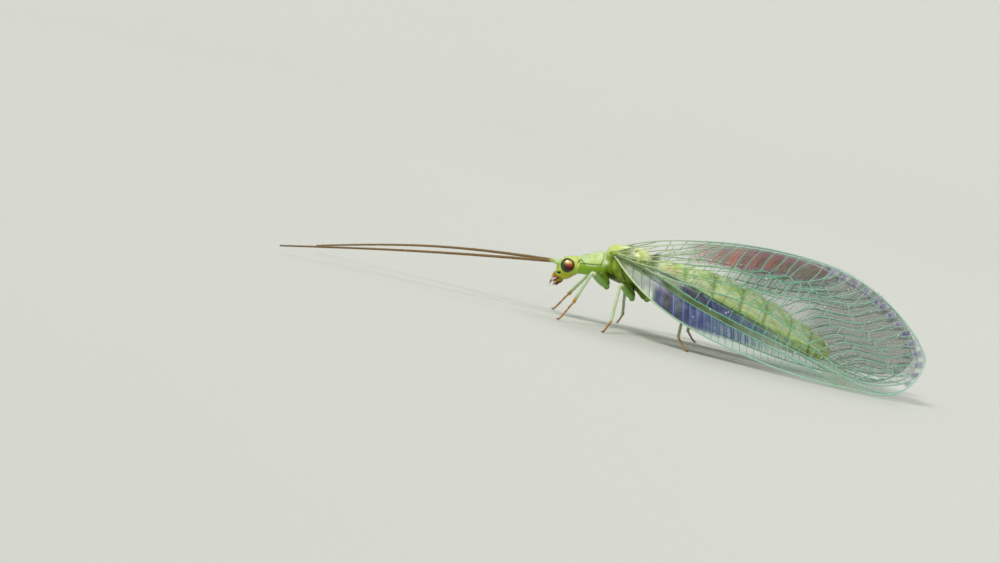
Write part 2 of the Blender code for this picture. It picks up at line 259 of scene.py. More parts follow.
class Wire:
    # an output socket; the operators add Math nodes
    def __init__(self, finish, socket):
        self.finish, self.socket = finish, socket

    def sum(self, operation, a, b):
        return self.finish.node("ShaderNodeMath", {"operation": operation}, {0: a, 1: b})

    def __add__(self, other):
        return self.sum("ADD", self, other)

    def __radd__(self, other):
        return self.sum("ADD", other, self)

    def __sub__(self, other):
        return self.sum("SUBTRACT", self, other)

    def __rsub__(self, other):
        return self.sum("SUBTRACT", other, self)

    def __mul__(self, other):
        return self.sum("MULTIPLY", self, other)

    def __rmul__(self, other):
        return self.sum("MULTIPLY", other, self)


class Finish:
    # one material with a Principled shader; shader holds values that are the same all over
    def __init__(self, name, shader):
        self.material = bpy.data.materials.new(name)
        self.material.use_nodes = True
        self.tree = self.material.node_tree
        self.shader = self.tree.nodes["Principled BSDF"]
        for label, value in shader.items():
            self.shader.inputs[label].default_value = value

    def node(self, kind, settings, sockets, output=0):  # inputs are wires or plain values
        made = self.tree.nodes.new(kind)
        for name, value in settings.items():
            setattr(made, name, value)
        for name, value in sockets.items():
            if isinstance(value, Wire):
                self.tree.links.new(value.socket, made.inputs[name])
            else:
                made.inputs[name].default_value = value
        return Wire(self, made.outputs[output])

    def inMillimetres(self):  # place on the object, in millimetres
        place = self.node("ShaderNodeTexCoord", {}, {}, 3)
        return self.node("ShaderNodeVectorMath", {"operation": "MULTIPLY"}, {0: place, 1: (1 / mm,) * 3})

    def noise(self, scale, detail):  # soft noise, scale in lumps per millimetre
        sockets = {"Vector": self.inMillimetres(), "Scale": scale, "Detail": detail}
        return self.node("ShaderNodeTexNoise", {}, sockets)

    def cells(self, scale):  # distance to the nearest middle in a pattern of cells
        return self.node("ShaderNodeTexVoronoi", {}, {"Vector": self.inMillimetres(), "Scale": scale})

    def stored(self, name, output=0):  # a value kept at the piece's points
        return self.node("ShaderNodeAttribute", {"attribute_name": name}, {}, output)

    def mix(self, share, a, b, way="MIX"):  # colour a moved towards b by the share
        settings = {"data_type": "RGBA", "blend_type": way}
        a, b = (value if isinstance(value, Wire) else (*value, 1) for value in (a, b))
        return self.node("ShaderNodeMix", settings, {0: share, 6: a, 7: b}, 2)

    def times(self, colour, factor):  # the colour multiplied by a factor for red, green and blue
        return self.mix(1.0, colour, factor, "MULTIPLY")

    def bump(self, height, depth):  # depth in millimetres
        sockets = {"Height": height, "Distance": depth * mm, "Strength": 1.0}
        return self.node("ShaderNodeBump", {}, sockets)

    def feed(self, **sockets):  # joins wires to the shader and hands back the material
        names = {"colour": "Base Color", "roughness": "Roughness", "alpha": "Alpha", "normal": "Normal"}
        for name, wire in sockets.items():
            self.tree.links.new(wire.socket, self.shader.inputs[names[name]])
        return self.material


# Camera, floor and lights

view = {
    "roll": 13.5,  # degrees; the photo looks along a sloping surface, the insect stands level here
    "height": 5.0,  # degrees above the level
    "lens": 100.0,
    "sensorWidth": 36.0,
    "millimetresPerPixel": 0.0424,
    "wingRoot": (0.0, -0.9, 3.18),
    "wingRootFromMiddle": (113.0, 27.5),  # pixels right of and above the picture's middle
    "pictureWidth": 1000,
}


def makeCamera():
    # looks level and a little down, turned by the roll; distance = width seen times lens over
    # sensor, and the aim is set so that the wing's root comes where it is in the photo
    roll, height = math.radians(view["roll"]), math.radians(view["height"])
    level = Vector((1, 0, 0))
    upright = Vector((0, math.sin(height), math.cos(height)))
    forward = Vector((0, math.cos(height), -math.sin(height)))
    right = level * math.cos(roll) + upright * math.sin(roll)
    up = upright * math.cos(roll) - level * math.sin(roll)
    pixel = view["millimetresPerPixel"] * mm
    root = Vector(np.array(view["wingRoot"]) + shift) * mm
    aside, above = view["wingRootFromMiddle"]
    aim = root - right * (aside * pixel) - up * (above * pixel)
    lens = bpy.data.cameras.new("camera")
    lens.lens = view["lens"]
    lens.sensor_width = view["sensorWidth"]
    lens.clip_start = 0.001
    away = view["pictureWidth"] * pixel * lens.lens / lens.sensor_width
    camera = bpy.data.objects.new("camera", lens)
    turned = Matrix((right, up, -forward)).transposed().to_4x4()
    camera.matrix_world = Matrix.Translation(aim - forward * away) @ turned
    bpy.context.scene.collection.objects.link(camera)
    bpy.context.scene.camera = camera


studio = {
    "floor": (204, 206, 200),
    "flatRadius": 0.20,
    "rimRadius": 0.60,
    "rimHeight": 0.30,
    "sky": (0.95, 0.97, 0.98),
    "skyStrength": 0.46,
    "lamps": {  # place that it shines from, strength, softness in degrees, colour
        "key": ((-0.55, -0.75, 1.25), 1.95, 18, (1.0, 0.97, 0.92)),
        "side": ((0.9, -0.8, 0.45), 0.50, 40, (0.95, 0.97, 1.0)),
        "back": ((0.3, 0.9, 0.8), 0.60, 30, (0.97, 1.0, 0.95)),
    },
}


def makeStudio():
    # the floor is flat near the insect and rises far away: height = rim height times the square
    # of the share of the way to the rim, so no edge shows from any side
    out = np.concatenate([[0.004], np.linspace(0.01, studio["rimRadius"], 60)])
    turn = np.linspace(0, 2 * math.pi, 96, endpoint=False)
    rise = np.clip((out - studio["flatRadius"]) / (studio["rimRadius"] - studio["flatRadius"]), 0, 1)
    height = np.broadcast_to((studio["rimHeight"] * rise**2)[:, None], (len(out), len(turn)))
    points = np.stack([np.outer(out, np.cos(turn)), np.outer(out, np.sin(turn)), height], -1)
    points = np.concatenate([points.reshape(-1, 3), [[0, 0, 0]]])
    middle = [(j, (j + 1) % len(turn), len(points) - 1) for j in range(len(turn))]
    faces = gridFaces(len(out), len(turn), True)[:, ::-1].tolist() + middle
    mesh = bpy.data.meshes.new("studioFloor")
    mesh.from_pydata(points.tolist(), [], faces)
    mesh.shade_smooth()
    finish = Finish("paleFloor", {"Roughness": 0.7, "Specular IOR Level": 0.25})
    tone = paint(*studio["floor"])
    finish.feed(colour=finish.mix(finish.noise(0.02, 2), tone * 0.97, tone))
    mesh.materials.append(finish.material)
    floor = bpy.data.objects.new("studioFloor", mesh)
    bpy.context.scene.collection.objects.link(floor)
    for name, (place, strength, softness, colour) in studio["lamps"].items():
        lamp = bpy.data.lights.new(name, "SUN")
        lamp.energy, lamp.angle, lamp.color = strength, math.radians(softness), colour
        held = bpy.data.objects.new(name, lamp)
        held.location = place
        held.rotation_euler = (-Vector(place)).to_track_quat("-Z", "Y").to_euler()
        bpy.context.scene.collection.objects.link(held)
    world = bpy.data.worlds.new("softSky")
    world.use_nodes = True
    sky = world.node_tree.nodes["Background"]
    sky.inputs["Color"].default_value = (*studio["sky"], 1)
    sky.inputs["Strength"].default_value = studio["skyStrength"]
    bpy.context.scene.world = world
    bpy.context.scene.view_settings.view_transform = "Standard"
    bpy.context.scene.cycles.transparent_max_bounces = 40  # four wings, two faces each, and hairs


makeCamera()
makeStudio()
print("camera, floor and lights")


# Body: head, thorax and abdomen under one skin

trunk = {  # x of the back, height of the underside and of the back, half width, lean
    "rows": [
        (-2.185, 1.86, 1.98, 0.07, 0.0),
        (-2.17, 1.76, 2.08, 0.20, 0.0),
        (-2.12, 1.66, 2.20, 0.33, 0.0),
        (-2.05, 1.60, 2.37, 0.42, 0.0),
        (-1.93, 1.57, 2.49, 0.48, 0.0),
        (-1.78, 1.58, 2.58, 0.51, 0.0),
        (-1.64, 1.62, 2.63, 0.505, 0.0),
        (-1.50, 1.71, 2.65, 0.47, 0.0),
        (-1.40, 1.82, 2.685, 0.43, 0.02),
        (-1.31, 1.93, 2.70, 0.395, 0.05),
        (-1.22, 1.97, 2.745, 0.39, 0.08),
        (-1.08, 1.98, 2.83, 0.43, 0.08),
        (-0.80, 2.00, 2.975, 0.50, 0.10),
        (-0.52, 2.03, 3.11, 0.53, 0.16),
        (-0.37, 2.07, 3.14, 0.535, 0.21),
        (-0.29, 2.09, 3.14, 0.53, 0.24),
        (-0.22, 2.06, 3.26, 0.57, 0.28),
        (-0.06, 2.00, 3.47, 0.77, 0.32),
        (0.22, 1.91, 3.55, 0.865, 0.36),
        (0.52, 1.83, 3.565, 0.885, 0.38),
        (0.76, 1.78, 3.555, 0.85, 0.40),
        (0.84, 1.77, 3.53, 0.80, 0.40),
        (1.05, 1.71, 3.63, 0.755, 0.38),
        (1.28, 1.71, 3.59, 0.685, 0.34),
        (1.50, 1.81, 3.48, 0.585, 0.26),
        (1.68, 2.02, 3.33, 0.47, 0.12),
        (1.76, 2.30, 3.22, 0.42, 0.12),
    ],
    "roomForCoat": 0.03,  # the skin lies this far inside the solids
    "across": 144,  # points round the body
    "steps": [(-2.055, -0.95, 0.0125), (-0.95, 1.8, 0.0195), (1.8, 9.5, 0.0235)],  # from, to, row spacing
}
furred = ("prothorax", "mesothorax", "metathorax", "abdomen_front", "abdomen_middle", "abdomen_tip")
abdomen = {
    "rings": (1.46, 1.29, 1.29, 1.10, 1.20, 0.96, 0.60, 0.40),
    "start": 1.78,
    "stop": 10.06,
    "bulge": 0.065,
    "groove": 0.075,
    "tailLength": 0.66,
    "foldAt": 0.02,  # the pale side fold, as a share of the half height above the middle
}
ringEdges = abdomen["start"] + np.concatenate([[0], np.cumsum(abdomen["rings"])])


def abdomenMiddle(x):  # falls ever faster towards the tail, with a slight sag at two thirds
    back = x - 1.8
    arch = 2.83 - 0.11 * back - 0.014 * back**2
    return arch - 0.1 * hump((back - 5.6) / 1.5) + 0.05 * ease((x - 8) / 1.5)


def alongRing(x):  # 0 to 1 along each ring of the abdomen
    return np.interp(x, ringEdges, np.arange(len(ringEdges))) % 1.0


def abdomenHalfHeight(x):
    # quarter sine to the widest place, then a falling square; round tail by a quarter circle
    along = (x - 1.8) / 8.25
    swell = 0.50 + 0.49 * np.sin(math.pi / 2 * np.clip(along / 0.45, 0, 1))
    whole = np.where(along < 0.45, swell, 0.99 - 2.15 * (along - 0.45) ** 2)
    tail = np.sqrt(np.clip(1 - np.clip((x - 9.5) / abdomen["tailLength"], 0, 1) ** 2, 0, 1))
    return (whole - 0.04 - trunk["roomForCoat"]) * np.maximum(tail, 0.22)


def bodySections(x):
    # middle height, half height, half width and lean at each x: the table as far as the waist,
    # then the abdomen's formulas
    rows = np.array(trunk["rows"])
    low, high, wide, lean = (smoothThrough(x, rows[:, 0], rows[:, k]) for k in range(1, 5))
    half = abdomenHalfHeight(x)
    share = ease((x - 1.70) / 0.16)
    middle = (low + high) / 2 * (1 - share) + abdomenMiddle(x) * share
    height = (high - low) / 2 * (1 - share) + half * share
    width = wide * (1 - share) + half * (0.87 - 0.07 * ease((x - 2.5) / 3)) * share
    return middle, height, width, lean * (1 - share) + 0.12 * share


def lineDistance(x, z, places):  # distance in the side view from a chain of straight lines
    nearest = np.full(np.shape(x), 9.0)
    for (ax, az), (bx, bz) in zip(places, places[1:]):
        dx, dz = bx - ax, bz - az
        t = np.clip(((x - ax) * dx + (z - az) * dz) / (dx * dx + dz * dz), 0, 1)
        nearest = np.minimum(nearest, np.hypot(x - ax - t * dx, z - az - t * dz))
    return nearest


seams = {  # grooves between the plates of the thorax in side view: places and depth
    "pronotumEdge": ([(-1.22, 2.44), (-0.95, 2.47), (-0.62, 2.53), (-0.36, 2.58)], 0.020),
    "pronotumBack": ([(-0.36, 2.58), (-0.31, 2.85), (-0.36, 3.10)], 0.022),
    "firstSide": ([(0.10, 3.10), (0.02, 2.80), (0.12, 2.46), (0.33, 2.18), (0.36, 1.96)], 0.030),
    "secondSide": ([(0.52, 3.05), (0.50, 2.75), (0.62, 2.40), (0.86, 2.10), (0.92, 1.88)], 0.030),
    "thirdSide": ([(0.86, 3.34), (0.90, 3.00), (0.96, 2.70), (1.16, 2.36), (1.36, 2.06)], 0.032),
    "fourthSide": ([(1.22, 3.24), (1.24, 2.92), (1.36, 2.62), (1.58, 2.34)], 0.024),
    "wingSlot": ([(-0.02, 3.16), (0.30, 3.18), (0.62, 3.14), (0.90, 3.22), (1.30, 3.18)], 0.028),
    "lowerEdge": ([(-0.20, 2.30), (0.10, 2.26), (0.45, 2.22)], 0.022),
    "cheek": ([(-1.62, 1.86), (-1.80, 1.84), (-1.98, 1.80), (-2.12, 1.84)], 0.012),
}
backLobes = [  # swellings of the back: height, distance from the middle, half width, x, half length
    (0.045, 0.25, 0.17, 0.06, 0.20),
    (0.035, 0.48, 0.15, 0.42, 0.16),
    (0.050, 0.00, 0.17, 0.60, 0.13),
    (0.045, 0.20, 0.15, 1.12, 0.16),
    (0.030, 0.00, 0.15, 1.42, 0.12),
]
sidePads = [(0.28, 0.35, 0.13), (0.74, 0.35, 0.12), (1.12, 0.30, 0.12)]  # x, slant, half length
sideFolds = [(0.022, 0.24, 0.10), (-0.034, 0.02, 0.05), (0.020, -0.16, 0.09), (-0.030, -0.36, 0.05)]


def bodyRelief(x, y, z, rise):
    # height added along the skin's normal; rise is -1 underneath and 1 on the back
    side = np.abs(y)
    back = ease((rise - 0.35) / 0.3)
    # head: a rim round each eye and a hollow under it, a ring at each feeler, the front's furrows
    fromEye = np.hypot((x - eyePlace["x"]) / 0.30, (z - eyePlace["z"]) / 0.31)
    onSide = ease((side - 0.22) / 0.15) * ease((-1.25 - x) / 0.1)
    relief = onSide * (0.030 * hump((fromEye - 1.10) / 0.08) - 0.10 * ease((0.98 - fromEye) / 0.35))
    feelerRoot = np.sqrt((x + 2.06) ** 2 + (side - 0.27) ** 2 + (z - 2.22) ** 2)
    relief += 0.025 * hump((feelerRoot - 0.15) / 0.035) - 0.02 * hump(feelerRoot / 0.08)
    front = ease((-1.92 - x) / 0.12)
    relief -= 0.018 * front * hump((z - 1.83 - 0.15 * side) / 0.02)
    relief += 0.015 * front * hump(side / 0.14) * hump((z - 2.0) / 0.16)
    crown = ease((-1.30 - x) / 0.1) * ease((rise - 0.3) / 0.4)
    relief += crown * (0.016 * hump((side - 0.15) / 0.09) - 0.012 * hump(side / 0.03))
    relief -= 0.022 * hump((x + 1.33 - 0.10 * (z - 2.3)) / 0.022)
    relief += 0.018 * hump((x + 1.27 - 0.10 * (z - 2.3)) / 0.030)
    # pronotum: a furrow across, a low keel at its edge, small dents
    neck = ease((x + 1.24) / 0.05) * ease((-0.30 - x) / 0.05)
    relief -= neck * back * (0.022 * hump((x + 0.74) / 0.045) + 0.012 * hump((x + 1.08) / 0.03))
    relief += neck * 0.016 * hump((z - 2.50 - 0.10 * (x + 0.8)) / 0.04)
    relief -= neck * back * 0.014 * hump(side / 0.035)
    relief += neck * back * 0.014 * hump((side - 0.22) / 0.12) * hump((x + 0.52) / 0.14)
    relief -= 0.040 * hump((x - 0.22 * (1 - rise) * 0.45 + 0.275) / 0.026)
    # middle and hind thorax: lobes on the back, a middle furrow, rounded plates at the side
    chest = ease((x + 0.24) / 0.1) * ease((1.72 - x) / 0.1)
    for high, aside, wide, along, long in backLobes:
        relief += back * high * hump((side - aside) / wide) * hump((x - along) / long)
    relief -= chest * back * 0.025 * hump(side / 0.03) * (1 - hump((x - 0.60) / 0.2))
    relief -= chest * 0.040 * hump((x - 0.83) / 0.040) * back
    relief -= 0.045 * hump((x - 1.76) / 0.045)
    pad = ease((0.45 - np.abs(rise)) / 0.4) * chest
    for along, slant, long in sidePads:
        relief += pad * 0.030 * hump((x - along - slant * (2.6 - z)) / long)
    for places, depth in seams.values():
        away = lineDistance(x, z, places)
        relief += onFlank(rise) * depth * (0.35 * hump((away - 0.055) / 0.03) - hump(away / 0.024))
    # abdomen: each ring swells and tucks under the next; the side folds between back and belly
    rear = ease((x - 1.82) / 0.1)
    step = alongRing(x)
    swell = np.sqrt(np.abs(np.sin(math.pi * step)))
    relief += rear * abdomen["bulge"] * (swell * (0.75 + 0.35 * rise) - 0.25)
    relief += 0.10 * ease((x - 5.5) / 2) * ease((rise - 0.1) / 0.6) * ease((10.1 - x) / 0.4)
    relief -= rear * abdomen["groove"] * hump(fromEdge(step) / 0.060) * ease((rise + 0.7) / 0.3)
    relief += rear * 0.012 * hump((step - 0.30) / 0.10) * ease(rise / 0.4)
    relief -= rear * 0.010 * hump((step - 0.55) / 0.06)
    fold = rise - abdomen["foldAt"] - 0.07 * np.sin(math.pi * step)
    for high, at, half in sideFolds:
        relief += rear * high * hump((fold - at) / half)
    crinkle = 0.5 + 0.5 * np.sin(2 * math.pi * (x * 9.5 + 0.3 * np.sin(7 * x)))
    return relief + rear * 0.009 * crinkle * hump((fold + 0.14) / 0.16)


def onFlank(rise):  # 1 at the side, 0 on the middle of the back and underneath
    return ease((0.97 - np.abs(rise)) / 0.12)


def fromEdge(step):  # 0 at both ends of a ring, down to -0.5 and up to 0.5 at its middle
    return (step + 0.5) % 1 - 0.5


skinColours = {
    "face": paint(178, 202, 70),
    "crown": paint(208, 222, 110),
    "chin": paint(190, 186, 26),
    "collar": paint(196, 218, 138),
    "collarLow": paint(144, 186, 36),
    "chestTop": paint(208, 220, 128),
    "chestSide": paint(124, 152, 28),
    "chestLow": paint(66, 86, 2),
    "lobe": paint(166, 188, 60),
    "moss": paint(128, 162, 80),
    # bluish-white painted highlight for the top of the pronotum
    "pronotumHighlight": paint(206, 226, 206),
    "pale": paint(246, 250, 226),
    "rings": paint(176, 208, 116),
    "white": paint(238, 246, 206),
    "band": paint(244, 250, 212),
    "underBand": paint(180, 212, 70),
    "bellyShade": paint(158, 166, 62),
    "orange": paint(244, 196, 120),
    "rose": paint(220, 176, 150),
    "black": paint(4, 5, 3),
    "brown": paint(90, 78, 26),
}
chestLobes = [(0.16, 2.62), (0.48, 2.34), (0.80, 2.12), (0.84, 2.76), (1.14, 2.44)]  # x and height
paleLine = [(-1.02, 2.44), (-0.85, 2.435), (-0.55, 2.47)]
spots = [  # soft spots on the side: colour, strength, x, height, half length, half height
    ("pale", 0.9, -0.18, 2.73, 0.10, 0.10),
    ("orange", 0.75, 2.62, 3.08, 0.40, 0.12),
    ("orange", 0.5, 4.28, 2.60, 0.16, 0.05),
    ("orange", 0.5, 4.82, 2.36, 0.16, 0.05),
    ("orange", 0.5, 6.1, 2.3, 0.16, 0.05),
    ("orange", 0.5, 7.3, 1.95, 0.16, 0.05),
]
marks = {  # dark marks on each side: places in side view and half width
    "cheekSpot": ([(-2.10, 1.835), (-1.995, 1.83)], 0.036),
    "cheekSpotTop": ([(-2.05, 1.86), (-1.99, 1.87)], 0.030),
    "hook": ([(-1.35, 2.43), (-1.30, 2.52), (-1.25, 2.58), (-1.18, 2.555)], 0.020),
    "hookTail": ([(-1.18, 2.555), (-1.08, 2.485), (-1.00, 2.425)], 0.007),
    "tickOne": ([(-1.26, 2.735), (-1.22, 2.715)], 0.006),
    "tickTwo": ([(-0.94, 2.78), (-0.93, 2.74)], 0.006),
}
backMarks = {  # dark marks on the back: x, distance from the middle and half width
    "hindPair": (0.98, 0.34, 0.038),
    "wingRootPair": (0.70, 0.60, 0.026),
}


def bodyColours(x, y, z, rise):
    # head, collar, chest and rings are each worked out for the whole body, then joined along x;
    # every share is made of eases over x, z or rise, and blotches are products of sine waves
    c = skinColours
    side, step = np.abs(y), alongRing(x)
    head = painted(plain(c["face"], x), c, [
        ("crown", ease((z - 2.30) / 0.25)),
        ("crown", ease((x + 1.55) / 0.15) * ease((z - 2.0) / 0.3)),
        ("chin", ease((2.02 - z) / 0.22) * ease((x + 2.06) / 0.2)),
    ])
    collar = blendTo(plain(c["collarLow"], x), c["collar"], ease((z - 2.36 - 0.1 * (x + 0.8)) / 0.28))
    high = ease((z - 2.95) / 0.2)
    blotch = ease(0.3 + np.sin(13 * x + 5 * z) * np.sin(11 * side + 4 * x + 0.6))
    blush = ease(np.sin(17 * x - 6 * z) * np.sin(15 * side - 5 * x) - 0.2)
    chest = painted(plain(c["chestLow"], x), c, [
        ("chestSide", ease((z - 2.02 - 0.12 * x) / 0.75)),
        ("chestTop", ease((z - 2.95) / 0.30)),
        *(("lobe", 0.8 * hump(np.hypot((x - a) / 0.15, (z - b) / 0.22))) for a, b in chestLobes),
        ("pale", 0.45 * hump((x - 0.80) / 0.16) * ease((z - 2.75) / 0.3)),
        ("pale", 0.6 * blotch * high * ease((x - 0.2) / 0.4)),
        ("rose", 0.5 * blush * high * ease((x - 0.3) / 0.4)),
    ])
    mottle = np.sin(6.3 * x + 2.5 * rise) * np.sin(14 * rise + 1.9 * x)
    mottle = ease(0.25 + mottle + 0.5 * np.sin(15 * x - 9 * rise) * np.sin(23 * rise))
    patch = ease(np.sin(8.1 * x + 1) * np.sin(9 * rise + 3 * x) - 0.35)
    bandRise = rise - 0.18 - 0.06 * np.sin(math.pi * step)
    bars = ease(np.sin(2 * math.pi * x / 0.36) + 0.1) * ease((-0.06 - rise) / 0.15)
    rings = painted(plain(c["rings"], x), c, [
        ("pale", 0.45 * hump((step - 0.35) / 0.22) * ease((rise + 0.1) / 0.9)),
        ("white", 0.78 * mottle),
        ("moss", 0.60 * patch * ease(rise / 0.3)),
        ("underBand", ease((0.02 - bandRise) / 0.22) * (1 - 0.45 * mottle)),
        ("band", 0.90 * hump(bandRise / 0.22)),
        # the underside painted darker olive: painted shade, as the light comes from above
        ("bellyShade", ease((-0.42 - rise) / 0.35)),
        ("brown", 0.60 * bars * ease((x - 4.0) / 1.5)),
        ("chestTop", 0.5 * ease((x - 9.0) / 0.8)),
    ])
    tint = blendTo(head, collar, ease((x + 1.32) / 0.12))
    tint = blendTo(tint, chest, ease((x + 0.30 - 0.10 * (1 - rise)) / 0.06))
    tint = blendTo(tint, rings, ease((x - 1.74) / 0.10))
    flank = ease((side - 0.10) / 0.1)
    tint = blendTo(tint, c["pale"], 0.8 * flank * hump(lineDistance(x, z, paleLine) / 0.026))
    for name, strength, along, up, long, tall in spots:
        away = np.hypot((x - along) / long, (z - up) / tall)
        tint = blendTo(tint, c[name], strength * flank * hump(away))
    for places, half in marks.values():
        tint = blendTo(tint, c["black"], flank * ease((half + 0.010 - lineDistance(x, z, places)) / 0.014))
    for along, aside, half in backMarks.values():
        away = np.hypot((x - along) / 1.5, side - aside)
        share = 0.9 * ease((rise - 0.2) / 0.1) * ease((half + 0.012 - away) / 0.02)
        tint = blendTo(tint, c["black"], share)
    for name, (places, depth) in seams.items():
        dark = onFlank(rise) * hump(lineDistance(x, z, places) / 0.034) * (name != "cheek")
        tint = blendTo(tint, tint * [0.32, 0.38, 0.18], 0.9 * dark)
    # painted highlight: bluish-white on top of the pronotum, broken into soft patches
    pronotumHighlight = hump((x + 0.8) / 0.5) * ease((rise - 0.25) / 0.4)
    tint = blendTo(tint, c["pronotumHighlight"], 0.55 * pronotumHighlight * ease(0.6 + np.sin(9 * x + 2) * np.cos(7 * y)))
    groove = hump(fromEdge(step) / 0.05) * ease((x - 1.85) / 0.1)
    return blendTo(tint, tint * [0.52, 0.66, 0.40], 0.9 * groove)


def makeBody():
    # rows along x, columns round: y = half width cos, z = middle + half height sin, leaning back
    # as it goes down; then each point moves along the normal by the relief
    nose = np.linspace(0, 1, 26, endpoint=False) ** 1.6 * 0.13 - 2.185
    tail = abdomen["stop"] + 0.10 - abdomen["tailLength"] * (1 - np.linspace(0, 1, 40) ** 0.6)
    stop = [abdomen["stop"]]
    x = np.concatenate([nose, *(np.arange(*step) for step in trunk["steps"]), tail[tail <= stop[0]], stop])
    middle, height, width, lean = bodySections(x)
    turn = np.linspace(0, 2 * math.pi, trunk["across"], endpoint=False)
    rise = np.broadcast_to(np.sin(turn), (len(x), len(turn)))
    rings = np.stack([
        x[:, None] + (lean * height)[:, None] * (1 - rise),
        width[:, None] * np.cos(turn),
        middle[:, None] + height[:, None] * rise,
    ], -1)
    normal = unit(np.cross(np.roll(rings, -1, 1) - np.roll(rings, 1, 1), np.gradient(rings, axis=0)))
    row = np.arange(len(x))
    fade = ease(np.minimum(row, len(x) - 1 - row) / 8)[:, None]
    rings = rings + normal * (bodyRelief(*np.moveaxis(rings, -1, 0), rise) * fade)[..., None]
    tint = bodyColours(*np.moveaxis(rings, -1, 0), rise)
    heap = Heap()
    heap.add(closedRings(rings), tint=ringTint(tint))
    heap.piece("bodySkin", skinFinish("bodyGreen", 0.10), "thorax", ("head",) + furred)
    return rings, normal, tint, rise


def skinFinish(name, through):
    # stored colour, lightened and darkened in soft blotches and fine grain; pebbled bump
    finish = Finish(name, {
        "IOR": 1.45, "Subsurface Weight": through, "Subsurface Scale": 0.15 * mm,
        "Subsurface Radius": (0.8, 1.0, 0.3), "Coat Weight": 0.05, "Coat Roughness": 0.25,
        "Specular IOR Level": 0.4,
    })
    base = finish.stored("tint")
    blotch, grain = finish.noise(3.2, 4), finish.noise(22, 3)
    darker, lighter = finish.times(base, (0.78, 0.86, 0.56)), finish.times(base, (1.16, 1.12, 1.30))
    colour = finish.mix(blotch * 1.6 - 0.3, darker, lighter)
    colour = finish.mix(grain * 0.5 - 0.1, colour, finish.times(colour, (0.86, 0.92, 0.76)))
    pebble = finish.cells(26) * 0.6 + finish.noise(60, 2) * 0.5
    return finish.feed(colour=colour, roughness=grain * 0.22 + 0.30, normal=finish.bump(pebble, 0.008))


# Eyes

eye = {"radii": (0.295, 0.245, 0.305), "rows": 72, "across": 96, "tilt": 13.5}
eyeColours = {
    "copper": paint(176, 66, 14),
    # highlightGold: a painted highlight, the lamp's reflection as a pale gold patch high on the eye
    "highlightGold": paint(255, 226, 150),
    "deepRed": paint(70, 12, 6),
    "green": paint(40, 84, 20),
    "rim": paint(4, 10, 3),
    "crown": skinColours["crown"],
}


def ballRings(rows, across):  # rings of a ball of radius 1, with its poles along x
    up = np.linspace(0, math.pi, rows + 2)[1:-1]
    turn = np.linspace(0, 2 * math.pi, across, endpoint=False)
    pole = np.broadcast_to(np.cos(up)[:, None], (rows, across))
    return np.stack([pole, np.outer(np.sin(up), np.cos(turn)), np.outer(np.sin(up), np.sin(turn))], -1)


def makeEyes():
    # ball stretched to the eye's radii, with its poles at the outer and inner side; the colour
    # bands are placed by height and distance from the middle as seen from the side; the pale gold
    # patch at the top is a painted highlight
    ballY, ballX, ballZ = np.moveaxis(ballRings(eye["rows"], eye["across"]), -1, 0)
    tilt = math.radians(eye["tilt"])
    across = ballX * math.cos(tilt) + ballZ * math.sin(tilt)
    above = ballZ * math.cos(tilt) - ballX * math.sin(tilt)
    out = np.hypot(across, above)
    # where the painted highlight sits: an oval high on the eye, bent with the eye's curve
    highlightSpot = np.hypot((across - 0.10) / 0.44, (above - 0.50 + 0.3 * across**2) / 0.21)
    tint = painted(plain(eyeColours["copper"], ballX), eyeColours, [
        ("deepRed", ease((0.10 - above - 0.3 * across) / 0.35)),
        ("green", ease((-across - 0.30 + 0.25 * above) / 0.20)),
        ("highlightGold", 1.5 * hump(highlightSpot)),
        ("green", 0.9 * ease((out - 0.74) / 0.08)),
        ("rim", ease((out - 0.80) / 0.06)),
        ("crown", ease((-0.25 - ballY) / 0.12)),
    ])
    finish = Finish("copperEye", {
        "Metallic": 0.2, "Roughness": 0.3, "Coat Weight": 0.35, "Coat Roughness": 0.05, "IOR": 1.4,
    })
    facet = finish.cells(75)
    base = finish.stored("tint")
    dot = finish.mix(facet * 0.6, base, finish.times(base, (0.6, 0.55, 0.5)))
    material = finish.feed(colour=dot, normal=finish.bump(1 - facet, 0.0015))
    for side, sign in sides.items():
        middle = np.array([eyePlace["x"], sign * eyePlace["y"], eyePlace["z"]])
        heap = Heap()
        rings = np.stack([ballX, sign * ballY, ballZ], -1) * eye["radii"] + middle
        heap.add(closedRings(rings), tint=ringTint(tint))
        heap.piece(f"eye{side.capitalize()}", material, "eye", [f"eye_{side}"])


# Mouth: upper lip, jaws and the two pairs of palps

mouthColours = {
    "amber": paint(176, 112, 22),
    "brown": paint(76, 32, 10),
    "red": paint(122, 48, 16),
    "dark": paint(24, 13, 7),
    # white: pale tips and rings of the palps and lobes, painted this bright to stand for the glints on them
    # as well
    "white": paint(240, 234, 226),
    "yellow": paint(172, 170, 40),
}
mouth = {  # parts on the right side: joints, radius at each, colour at each
    "upperLip": (
        [(-2.08, 0.0, 1.80), (-2.20, 0.0, 1.60), (-2.245, 0.0, 1.45)],
        (0.125, 0.105, 0.05), "yellow amber white",
    ),
    "jaws": (
        [(-2.02, 0.18, 1.72), (-2.15, 0.16, 1.54), (-2.24, 0.03, 1.40)],
        (0.100, 0.075, 0.016), "amber red dark",
    ),
    "lobes": (
        [(-1.88, 0.12, 1.65), (-2.03, 0.13, 1.46), (-2.15, 0.08, 1.32)],
        (0.100, 0.070, 0.035), "yellow amber white",
    ),
    "lowerLip": (
        [(-1.84, 0.0, 1.60), (-1.98, 0.0, 1.40), (-2.06, 0.0, 1.28)],
        (0.110, 0.090, 0.050), "yellow red amber",
    ),
    "upperPalps": (
        [(-1.92, 0.19, 1.62), (-2.05, 0.25, 1.60), (-2.19, 0.23, 1.52), (-2.28, 0.18, 1.40),
         (-2.31, 0.14, 1.27), (-2.295, 0.11, 1.14)],
        (0.036, 0.040, 0.034, 0.036, 0.030, 0.022), "amber dark white brown white white",
    ),
    "lowerPalps": (
        [(-1.84, 0.09, 1.58), (-1.92, 0.14, 1.44), (-2.05, 0.15, 1.33), (-2.18, 0.11, 1.24)],
        (0.034, 0.034, 0.032, 0.022), "amber brown dark white",
    ),
}


